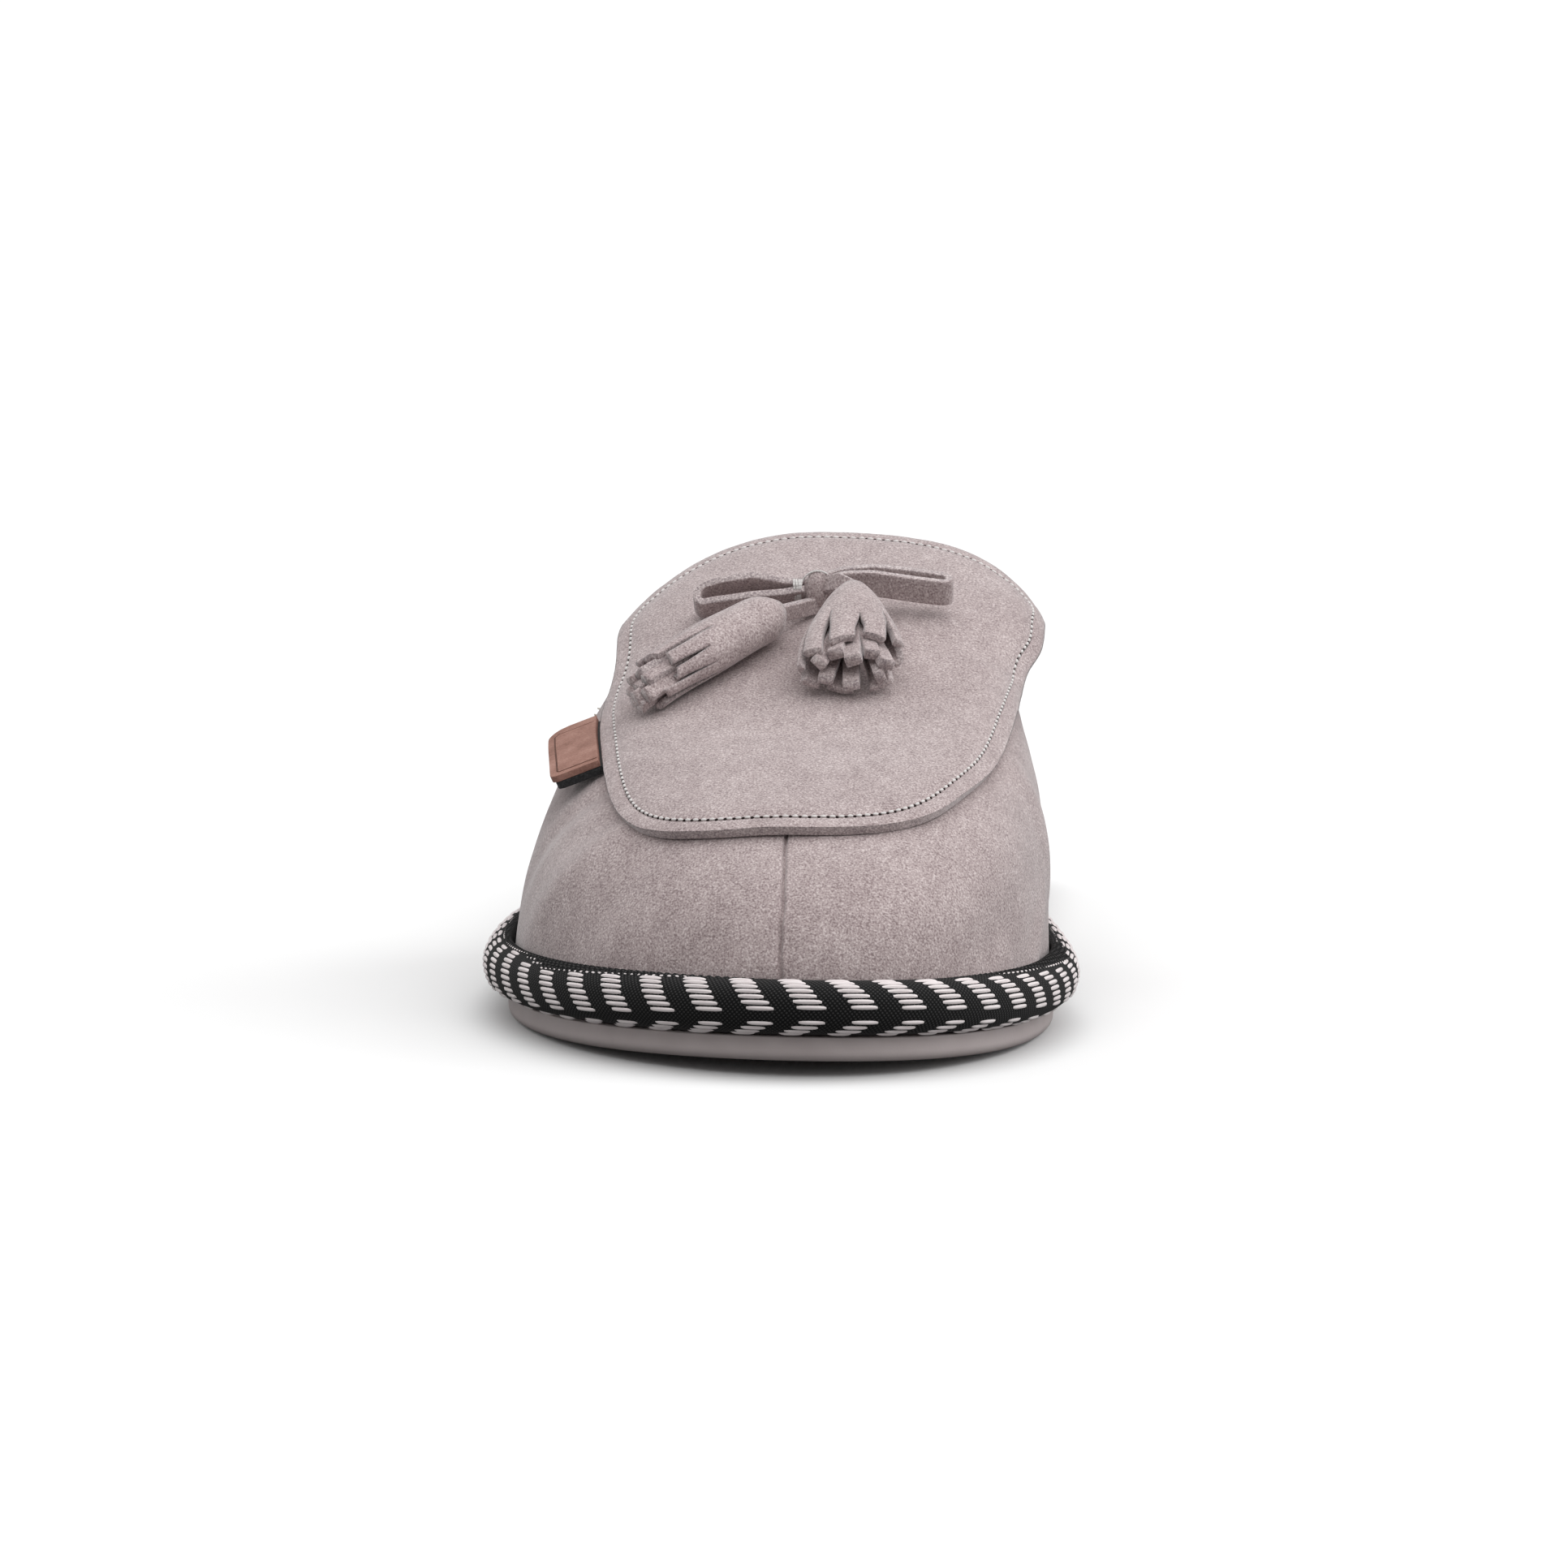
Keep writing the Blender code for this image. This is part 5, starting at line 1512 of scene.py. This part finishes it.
LEFT_TASSEL_TABLE = (
    {"along": 0.00, "wide": 0.055, "deep": 0.055},
    {"along": 0.07, "wide": 0.120, "deep": 0.100},
    {"along": 0.20, "wide": 0.152, "deep": 0.118},
    {"along": 0.45, "wide": 0.168, "deep": 0.124},
    {"along": 0.75, "wide": 0.150, "deep": 0.116},
    {"along": 1.00, "wide": 0.124, "deep": 0.106},
)
RIGHT_TASSEL_TABLE = (
    {"along": 0.00, "wide": 0.087, "deep": 0.070},
    {"along": 0.12, "wide": 0.150, "deep": 0.106},
    {"along": 0.32, "wide": 0.224, "deep": 0.135},
    {"along": 0.50, "wide": 0.280, "deep": 0.150},
    {"along": 0.72, "wide": 0.325, "deep": 0.158},
    {"along": 1.00, "wide": 0.345, "deep": 0.162},
)


def tassel_form(x, ahead, heading, length, table, start_lift):
    """A tassel's outer form, draped over the tongue, by the share along it and the angle round it."""
    tassel_wide, tassel_deep = column_curve(table, "wide"), column_curve(table, "deep")
    y = KNOT_SHARE * FEATHER_LENGTH - LACE_WIDTH / 2 - table[0]["wide"] * length - 2 * CLEARANCE - ahead
    end_lift = PLUG_TOP + table[-1]["deep"] * length + STRIP_THICKNESS / 2 + 2 * CLEARANCE
    step = length / TASSEL_STEPS
    place = np.array([x, y], dtype=float)
    points = [over_instep(x, y, start_lift)[0]]
    outs = [instep_normals(np.array([x]), np.array([y]))[0]]
    for i in range(1, TASSEL_STEPS + 3):
        lift = start_lift + (end_lift - start_lift) * min(i / TASSEL_STEPS, 1)
        trial = place + np.array(heading) * step
        reached = np.linalg.norm(over_instep(trial[0], trial[1], lift)[0] - points[-1])
        place = place + np.array(heading) * step * step / reached
        points.append(over_instep(place[0], place[1], lift)[0])
        outs.append(instep_normals(place[:1], place[1:])[0])
    points, outs = np.array(points), np.array(outs)
    axes = np.gradient(points, axis=0)
    stations = np.arange(len(points)) / TASSEL_STEPS

    def ring(along, angle, proud=0.0, share=1.0):
        along, angle = np.atleast_1d(along).astype(float), np.atleast_1d(angle).astype(float)
        middle, out, axis = (
            np.stack([np.interp(along, stations, rows[:, i]) for i in range(3)], 1)
            for rows in (points, outs, axes)
        )
        axis = unit_rows(axis)
        across = unit_rows(np.cross(axis, out))
        wide = (tassel_wide(np.minimum(along, 1)) * length + proud) * share
        deep = (tassel_deep(np.minimum(along, 1)) * length + proud) * share
        upward = np.cross(across, axis)
        return middle + across * (wide * np.cos(angle))[:, None] + upward * (deep * np.sin(angle))[:, None]

    return ring


def add_sleeve(mesh_data, ring, strips, seed):
    """The outermost turn: one sheet round the head, slit between strips that end at their own lengths."""
    rng = np.random.default_rng(seed)
    count = len(strips)
    sleeve = bmesh.new()
    bmesh.ops.create_grid(sleeve, x_segments=count * SLEEVE_CELLS, y_segments=SLEEVE_RINGS, size=0.5)
    slits = []
    for edge in sleeve.edges:
        shares = [(vert.co.x + 0.5) * count for vert in edge.verts]
        border = round(shares[0])
        on_border = all(abs(share - border) < 0.01 for share in shares)
        if on_border and 0 < border < count:
            if min(vert.co.y + 0.5 for vert in edge.verts) >= strips[border]["slit"]:
                slits.append(edge)
    bmesh.ops.split_edges(sleeve, edges=slits)
    bulges = rng.uniform(*STRIP_BULGE, count)
    drifts = rng.uniform(-STRIP_DRIFT, STRIP_DRIFT, count)
    rows = []
    for vert in sleeve.verts:
        centre = sum((face.calc_center_median().x for face in vert.link_faces), 0.0) / len(vert.link_faces)
        k = min(int((centre + 0.5) * count), count - 1)
        strip, following = strips[k], strips[(k + 1) % count]
        local = (vert.co.x + 0.5) * count - k
        along = vert.co.y + 0.5
        free = max(along - FRINGE_FREE_FROM, 0) / (1 - FRINGE_FREE_FROM)
        opened = [
            smoothstep((along - border["slit"]) / SLIT_OPENING) * border["gap"]
            for border in (strip, following)
        ]
        angle = k + opened[0] + local * (1 - opened[0] - opened[1]) + drifts[k] * free
        tip = strip["tip"] + strip["slant"] * (local - 0.5)
        reach = along if along < FRINGE_FREE_FROM else FRINGE_FREE_FROM + free * (tip - FRINGE_FREE_FROM)
        pillow = STRIP_PILLOW * (1 - (2 * local - 1) ** 2) * smoothstep((along - 0.3) / 0.4)
        rows.append((reach, 2 * math.pi * angle / count, pillow + bulges[k] * free**2))
    along, angle, proud = np.array(rows).T
    for vert, place in zip(sleeve.verts, ring(along, angle + math.pi / count, proud)):
        vert.co = place
    bmesh.ops.remove_doubles(sleeve, verts=sleeve.verts, dist=MERGE_DISTANCE)
    join_part(mesh_data, sleeve)


def add_ends(mesh_data, ring, ends):
    """The square ends of the inner turns, each a strip of suede from inside the head to its own tip."""
    for end in ends:
        alongs = np.linspace(END_START, end["tip"], END_POINTS)
        shares = np.interp(alongs, (END_START, end["tip"]), (END_START_RING, end["ring"]))
        points = np.array([ring(a, end["angle"], 0.0, s)[0] for a, s in zip(alongs, shares)])
        outer = ring(end["tip"], end["angle"] + end["turn"])[0]
        beside = outer - ring(end["tip"], end["angle"], share=0.2)[0]
        add_lace(mesh_data, points, beside / np.linalg.norm(beside), end["width"], end["thick"])


def finish_tassel(name, ring, strips, ends, seed):
    """Puts a tassel's sleeve and inner ends together."""
    sleeve = bmesh.new()
    add_sleeve(sleeve, ring, strips, seed)
    core = Vector(ring(0.5, 0.0, 0.0, 0.0)[0])
    sleeve.normal_update()
    faced = sum(face.normal.dot(face.calc_center_median() - core) for face in sleeve.faces)
    if faced < 0:
        bmesh.ops.reverse_faces(sleeve, faces=sleeve.faces)
    piece = finish_piece(f"{name}_sleeve", sleeve, [brushed_suede, cut_suede], closed=False)
    add_wall(piece, STRIP_THICKNESS, -1, rim_material=1)
    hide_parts(name)
    inner = bmesh.new()
    add_ends(inner, ring, ends)
    finish_piece(f"{name}_ends", inner, [brushed_suede, cut_suede], merge=False)


def strip_row(slits, gaps, tips, slants):
    """The strips round a sleeve, one after the other."""
    keys = ("slit", "gap", "tip", "slant")
    return [dict(zip(keys, values)) for values in zip(slits, gaps, tips, slants)]


def end_row(angles, rings, tips, widths, thicks, turns):
    """The inner ends of a tassel, with angles and turns in degrees and widths in millimetres."""
    return [
        {
            "angle": math.radians(angle),
            "ring": ring,
            "tip": tip,
            "width": width / 1000,
            "thick": thick / 1000,
            "turn": math.radians(turn),
        }
        for angle, ring, tip, width, thick, turn in zip(angles, rings, tips, widths, thicks, turns)
    ]


left_ring = tassel_form(
    INSTEP_X - LEFT_TASSEL_ASIDE,
    LEFT_TASSEL_AHEAD,
    LEFT_TASSEL_HEADING,
    LEFT_TASSEL_LENGTH,
    LEFT_TASSEL_TABLE,
    KNOT_LIFT + LEFT_TASSEL_LIFT,
)
right_ring = tassel_form(
    INSTEP_X + RIGHT_TASSEL_ASIDE,
    CLEARANCE,
    RIGHT_TASSEL_HEADING,
    RIGHT_TASSEL_LENGTH,
    RIGHT_TASSEL_TABLE,
    KNOT_LIFT + RIGHT_TASSEL_LIFT,
)
finish_tassel(
    "tassel_left",
    left_ring,
    strip_row(
        (0.55, 0.46, 0.42, 0.55, 0.55, 0.50, 0.52, 0.50, 0.55),
        (0.10, 0.06, 0.07, 0.08, 0.12, 0.12, 0.14, 0.12, 0.14),
        (0.86, 0.82, 0.78, 0.80, 0.90, 0.92, 0.96, 0.94, 0.92),
        (0.03, -0.04, 0.02, 0.03, -0.02, 0.03, -0.03, 0.02, 0.02),
    ),
    end_row(
        (20, 75, 130, 185, 240, 295, 340, 90, 210),
        (0.62, 0.60, 0.62, 0.66, 0.60, 0.58, 0.62, 0.12, 0.20),
        (0.95, 0.92, 0.94, 0.99, 1.02, 1.00, 0.98, 0.97, 1.02),
        (2.6, 2.8, 2.5, 2.7, 2.5, 2.8, 2.4, 2.6, 2.6),
        (1.7, 1.8, 1.7, 1.8, 1.7, 1.8, 1.7, 1.8, 1.8),
        (40, 50, 60, 40, 50, 60, 45, 80, 30),
    ),
    21,
)
finish_tassel(
    "tassel_right",
    right_ring,
    strip_row(
        (0.48, 0.42, 0.50, 0.40, 0.47, 0.52, 0.50, 0.50, 0.50),
        (0.10, 0.09, 0.16, 0.10, 0.22, 0.10, 0.14, 0.14, 0.14),
        (0.93, 0.84, 0.78, 0.76, 0.79, 0.94, 0.96, 0.98, 0.97),
        (0.04, -0.05, 0.03, -0.02, 0.03, 0.04, -0.03, 0.02, 0.02),
    ),
    end_row(
        (25, 60, 95, 130, 165, 210, 270, 320),
        (0.66, 0.58, 0.46, 0.60, 0.68, 0.62, 0.56, 0.62),
        (0.98, 0.93, 1.00, 0.92, 0.97, 1.00, 1.03, 1.00),
        (2.8, 2.9, 3.0, 2.7, 2.8, 2.8, 3.0, 2.8),
        (1.8, 2.0, 2.1, 1.9, 1.9, 1.8, 2.0, 1.9),
        (30, 70, 40, 60, 50, 40, 60, 40),
    ),
    22,
)

ties = bmesh.new()
left_neck = left_ring(0.10, 0.0, 0.0, 0.0)[0]
lower_left = np.array(KNOT - KNOT_OUT * 0.0022 - KNOT_ALONG * 0.0016)
add_lace(ties, np.linspace(lower_left, left_neck, 6), KNOT_OUT, *LEFT_TIE)
right_neck_top = right_ring(0.0, 0.0, 0.0, 0.0)[0]
right_neck_in = right_ring(0.22, 0.0, 0.0, 0.0)[0]
upper_right = np.array(KNOT + KNOT_OUT * 0.0014 + KNOT_ACROSS * 0.0012 - KNOT_ALONG * 0.0006)
over = (upper_right + right_neck_top) / 2 + np.array(KNOT_OUT) * 0.0010
right_broad = KNOT_ACROSS * 0.4 + KNOT_OUT * 0.6
add_lace(ties, [upper_right, over, right_neck_top, right_neck_in], right_broad, *RIGHT_TIE)
finish_piece("tassel_ties", ties, [brushed_suede, cut_suede], merge=False)

# The studio
# A pale floor and plain soft lights: a large key from the right and above, a weak fill, and an even white
# surround.

CAMERA_AZIMUTH = 3.5
CAMERA_ELEVATION = 7.5
CAMERA_DISTANCE = 1.25
CAMERA_LENS = 160.6
CAMERA_ROLL = math.radians(0.6)
BALL_POINT = Vector((0, -0.061, 0))
AIM_ABOVE = 0.0420
AIM_ASIDE = 0.0005
CLIP_START = 0.05
CLIP_END = 50
FLOOR_HALF = 12
SURROUND_STRENGTH = 0.35


def make_floor():
    """Studio paper: matt, near white to the camera and darker to other light, so it throws little back."""
    material, _ = new_material("white_paper", Roughness=0.9, Specular_IOR_Level=0.1)
    path = add_node(material, "ShaderNodeLightPath").outputs["Is Camera Ray"]
    tones = {6: srgb("#868686"), 7: srgb("#F9F9F9")}
    tone = add_node(material, "ShaderNodeMix", tones, {0: path}, data_type="RGBA")
    shader = material.node_tree.nodes["Principled BSDF"]
    material.node_tree.links.new(tone.outputs[2], shader.inputs["Base Color"])
    return material


floor_data = bmesh.new()
bmesh.ops.create_grid(floor_data, x_segments=1, y_segments=1, size=FLOOR_HALF)
floor_mesh = bpy.data.meshes.new("floor")
floor_data.to_mesh(floor_mesh)
floor_data.free()
floor_mesh.materials.append(make_floor())
floor = bpy.data.objects.new("floor", floor_mesh)
bpy.context.scene.collection.objects.link(floor)


def direction(azimuth, elevation):
    """The way to a place round the slipper, in degrees: azimuth from straight ahead, towards medial."""
    around, above = math.radians(azimuth), math.radians(elevation)
    level = math.cos(above)
    return Vector((math.sin(around) * level, -math.cos(around) * level, math.sin(above)))


def add_sun(name, azimuth, elevation, strength, spread):
    """A wide soft light from a direction round the slipper, measured as the camera's is."""
    light = bpy.data.lights.new(name, "SUN")
    light.energy = strength
    light.angle = math.radians(spread)
    lamp = bpy.data.objects.new(name, light)
    lamp.rotation_euler = direction(azimuth, elevation).to_track_quat("Z", "Y").to_euler()
    bpy.context.scene.collection.objects.link(lamp)


add_sun("top", 25, 72, 1.95, 80)
add_sun("right", 98, 26, 1.15, 50)
add_sun("left", -110, 26, 0.45, 50)

world = bpy.data.worlds.new("surround")
bpy.context.scene.world = world
world.use_nodes = True
background = world.node_tree.nodes["Background"]
background.inputs["Color"].default_value = srgb("#FFFFFF")
background.inputs["Strength"].default_value = SURROUND_STRENGTH
seen = add_node(world, "ShaderNodeBackground", {"Color": srgb("#FFFFFF")})
is_seen = add_node(world, "ShaderNodeLightPath").outputs["Is Camera Ray"]
views = {"Fac": is_seen, 1: background.outputs["Background"], 2: seen.outputs["Background"]}
chosen = add_node(world, "ShaderNodeMixShader", links=views)
surface = world.node_tree.nodes["World Output"].inputs["Surface"]
world.node_tree.links.new(chosen.outputs["Shader"], surface)

camera_data = bpy.data.cameras.new("camera")
camera_data.lens = CAMERA_LENS
camera_data.clip_start = CLIP_START
camera_data.clip_end = CLIP_END
camera = bpy.data.objects.new("camera", camera_data)
toward_camera = direction(CAMERA_AZIMUTH, CAMERA_ELEVATION)
aim = BALL_POINT + Vector((AIM_ASIDE, 0, AIM_ABOVE))
camera.location = aim + toward_camera * CAMERA_DISTANCE
facing = toward_camera.to_track_quat("Z", "Y").to_matrix()
camera.rotation_euler = (facing @ Matrix.Rotation(CAMERA_ROLL, 3, "Z")).to_euler()
bpy.context.scene.collection.objects.link(camera)
bpy.context.scene.camera = camera
bpy.context.scene.view_settings.view_transform = "Standard"

bpy.context.view_layer.update()
